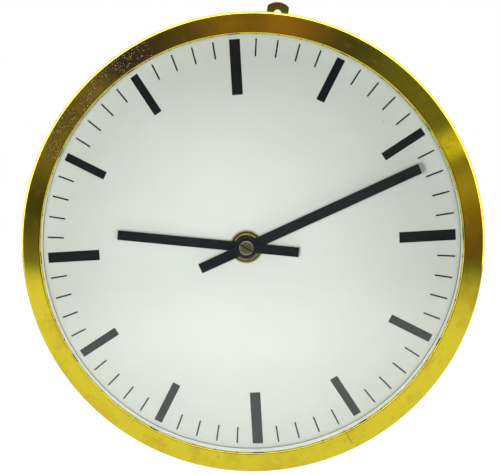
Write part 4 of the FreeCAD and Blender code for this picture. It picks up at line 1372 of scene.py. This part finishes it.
@dataclass
class Studio:
    """Pale floor, soft light, a room to reflect and the camera.

    Args:
        floor_x: reach of the floor along X.
        floor_y: reach of the floor along Y.
        floor_tone: colour of the floor.
        floor_dark: its colour and glow towards the front and the right.
        floor_glow: its glow on the clock and in reflections.
        floor_seen: its glow towards the camera.
        floor_fade: width over which it goes dark.
        sides: brightness of the room beside the clock.
        ceiling: brightness of the room above it.
        backdrop: brightness of the room behind it.
        cloud: dimmest and brightest of the front room's clouds.
        axis_level: brightness of the front room's middle, as a share of the rest.
        axis_fade: headings along Y between which the front room's middle ends.
        side_fade: headings along Y between which the front room gives way to the sides.
        rear_fade: headings along Y between which the sides give way to the backdrop.
        ceiling_fade: headings along Z between which the sides give way to the ceiling.
        lens: focal length in millimetres.
        sensor: width of the camera's sensor in millimetres.
        shift: sideways and upward shift of the lens.
        camera_place: where the camera stands.
        camera_turn: its turns about X, Y and Z in degrees.
        key: the light on the dial.
        room: tones of the room in front, once round the clock.
    """
    floor_x: Tuple[float, float] = (-3.2, 0.62)
    floor_y: Tuple[float, float] = (-0.80, 3.2)
    floor_tone: Colour = (0.13, 0.13, 0.128)
    floor_dark: Colour = (0.02, 0.02, 0.02)
    floor_glow: Colour = (0.72, 0.72, 0.71)
    floor_seen: Colour = (0.92, 0.92, 0.92)
    floor_fade: float = 0.45
    sides: float = 3.0
    ceiling: float = 4.6
    backdrop: float = 0.95
    cloud: Tuple[float, float] = (0.7, 1.15)
    axis_level: float = 0.15
    axis_fade: Tuple[float, float] = (-0.93, -0.72)
    side_fade: Tuple[float, float] = (-0.40, -0.22)
    rear_fade: Tuple[float, float] = (0.0, 0.35)
    ceiling_fade: Tuple[float, float] = (0.0, 0.6)
    lens: float = 49.218
    sensor: float = 36.0
    shift: Tuple[float, float] = (0.12, 0.0213)
    camera_place: Tuple[float, float, float] = (3.18 * MM, -376.0 * MM, 29.27 * MM)
    camera_turn: Tuple[float, float, float] = (85.058, 3.7451, 4.9668)
    key: KeyLight = KeyLight("key_front", (-0.012, -0.225, 0.006), (-0.012, -0.05, 0.006), 0.05, 0.262)
    room: Tuple[RoomTone, ...] = (
        RoomTone(0.0, (0.30, 0.18, 0.16)), RoomTone(17.0, (0.36, 0.19, 0.20)),
        RoomTone(32.0, (0.10, 0.10, 0.20)), RoomTone(49.0, (0.165, 0.17, 0.22)),
        RoomTone(67.0, (0.20, 0.19, 0.20)), RoomTone(69.5, (1.08, 1.05, 0.36)),
        RoomTone(74.0, (0.98, 0.92, 0.34)), RoomTone(75.5, (0.16, 0.155, 0.20)),
        RoomTone(84.0, (0.56, 0.45, 0.20)), RoomTone(91.0, (0.32, 0.21, 0.12)),
        RoomTone(97.0, (0.22, 0.125, 0.14)), RoomTone(180.0, (0.10, 0.09, 0.08)),
        RoomTone(262.0, (0.19, 0.17, 0.18)), RoomTone(279.0, (0.09, 0.08, 0.14)),
        RoomTone(295.0, (0.21, 0.18, 0.20)), RoomTone(312.0, (0.25, 0.215, 0.22)),
        RoomTone(326.0, (0.035, 0.03, 0.20)), RoomTone(344.0, (0.12, 0.10, 0.20)),
    )

    def build(self) -> None:
        """Set up the floor, the light, the room and the camera."""
        self._floor()
        self._key_light()
        self._room()
        self._camera()
        bpy.context.scene.view_settings.view_transform = "Standard"

    def _floor(self) -> None:
        """Plain pale floor under the clock's lowest point."""
        level = CAD_BOX[0][2]
        bpy.ops.object.select_all(action="DESELECT")
        middle = (sum(self.floor_x) / 2, sum(self.floor_y) / 2, level)
        bpy.ops.mesh.primitive_plane_add(size=1, location=middle)
        floor = bpy.context.object
        floor.name = "pale_floor"
        floor.scale = (self.floor_x[1] - self.floor_x[0], self.floor_y[1] - self.floor_y[0], 1)
        Bench.settle(floor)
        floor.data.materials.append(self._floor_material())

    def _floor_material(self) -> bpy.types.Material:
        """Pale floor that glows a little and goes dark towards the front and the right of the room."""
        material = bpy.data.materials.new("pale_floor")
        material.use_nodes = True
        shader = node_of(material.node_tree, "BSDF_PRINCIPLED")
        wiring = Wiring(material.node_tree)
        parts = wiring.axes(wiring.add("ShaderNodeTexCoord").outputs["Object"])
        front = wiring.fade(parts["Y"], self.floor_y[0], self.floor_y[0] + self.floor_fade)
        right = wiring.fade(parts["X"], self.floor_x[1], self.floor_x[1] - self.floor_fade)
        behind = wiring.maths("SUBTRACT", 1.0, wiring.maths("LESS_THAN", parts["Y"], 0.0))
        lit = wiring.maths("MULTIPLY", front, wiring.maths("MAXIMUM", right, behind))
        wiring.feed(shader.inputs["Base Color"], wiring.tint(lit, self.floor_dark, self.floor_tone))
        seen = wiring.add("ShaderNodeLightPath").outputs["Is Camera Ray"]
        glow = wiring.tint(seen, wiring.tint(lit, self.floor_dark, self.floor_glow), self.floor_seen)
        wiring.feed(shader.inputs["Emission Color"], glow)
        shader.inputs["Emission Strength"].default_value = 1.0
        shader.inputs["Roughness"].default_value = 0.9
        return material

    def _key_light(self) -> None:
        """Hang the light in front of the glass, out of sight."""
        light = bpy.data.lights.new(self.key.name, "AREA")
        light.energy = self.key.power
        light.size = self.key.size
        light.shape = "DISK"
        holder = bpy.data.objects.new(self.key.name, light)
        bpy.context.scene.collection.objects.link(holder)
        holder.visible_glossy = False
        holder.visible_transmission = False
        holder.visible_camera = False
        holder.location = self.key.place
        heading = Vector(self.key.aim) - Vector(self.key.place)
        holder.rotation_euler = heading.to_track_quat("-Z", "Y").to_euler()

    def _room(self) -> None:
        """White behind the clock and a dim room in front of it, for reflections; plain white to look at."""
        world = bpy.data.worlds.new("studio_room")
        world.use_nodes = True
        bpy.context.scene.world = world
        wiring = Wiring(world.node_tree)
        shader = node_of(world.node_tree, "BACKGROUND")
        heading = wiring.add("ShaderNodeTexCoord").outputs["Generated"]
        parts = wiring.axes(heading)
        turn = wiring.maths("ARCTAN2", parts["X"], parts["Z"])
        share = wiring.maths("FRACT", wiring.maths("ADD", wiring.maths("DIVIDE", turn, 2 * math.pi), 1.0))
        ramp = self._tone_ramp(wiring)
        wiring.feed(ramp.inputs[0], share)
        cloud = wiring.spread(wiring.fade(wiring.noise(heading, 5.0, 3.0), 0.36, 0.64), *self.cloud)
        off_axis = wiring.spread(wiring.fade(parts["Y"], *self.axis_fade), self.axis_level, 1.0)
        room = wiring.vectors("SCALE", ramp.outputs[0])
        wiring.feed(room.inputs["Scale"], wiring.maths("MULTIPLY", cloud, off_axis))
        beside = wiring.spread(wiring.fade(parts["Z"], *self.ceiling_fade), self.sides, self.ceiling)
        rear = wiring.fade(parts["Y"], *self.rear_fade)
        not_rear = wiring.maths("SUBTRACT", 1.0, rear)
        level = wiring.maths("ADD", wiring.maths("MULTIPLY", rear, self.backdrop),
                             wiring.maths("MULTIPLY", beside, not_rear))
        bright = wiring.vectors("SCALE", (1.0, 1.0, 1.0))
        wiring.feed(bright.inputs["Scale"], level)
        tone = wiring.tint(wiring.fade(parts["Y"], *self.side_fade), room.outputs[0], bright.outputs[0])
        seen = wiring.add("ShaderNodeLightPath").outputs["Is Camera Ray"]
        wiring.feed(shader.inputs["Color"], wiring.tint(seen, tone, (1.0, 1.0, 1.0)))
        shader.inputs["Strength"].default_value = 1.0

    def _tone_ramp(self, wiring: Wiring) -> bpy.types.Node:
        """Colour ramp once round the clock through the room's tones."""
        node = wiring.add("ShaderNodeValToRGB")
        stops = node.color_ramp.elements
        first = self.room[0]
        stops[0].position, stops[0].color = 0.0, (*first.tone, 1.0)
        stops[1].position, stops[1].color = 1.0, (*first.tone, 1.0)
        for tone in self.room[1:]:
            stop = stops.new(tone.angle / 360.0)
            stop.color = (*tone.tone, 1.0)
        node.color_ramp.interpolation = "EASE"
        return node

    def _camera(self) -> None:
        """Camera close in front, a little above the clock's middle."""
        camera = bpy.data.cameras.new("camera")
        camera.lens = self.lens
        camera.sensor_width = self.sensor
        camera.shift_x, camera.shift_y = self.shift
        camera.clip_start = 0.01
        holder = bpy.data.objects.new("camera", camera)
        bpy.context.scene.collection.objects.link(holder)
        holder.location = self.camera_place
        holder.rotation_euler = [math.radians(angle) for angle in self.camera_turn]
        bpy.context.scene.camera = holder


def main() -> None:
    """Dress the CAD nodes, build the finer pieces and set up the studio."""
    logging.basicConfig(level=logging.INFO, format="%(name)s: %(message)s")
    shop = Paintshop()
    shop.dress_cad_nodes()
    for assembly in (Case(), Dial(), Hub(), Hands(), Bezel()):
        assembly.build(shop)
    Studio().build()


if __name__ == "__main__":
    main()
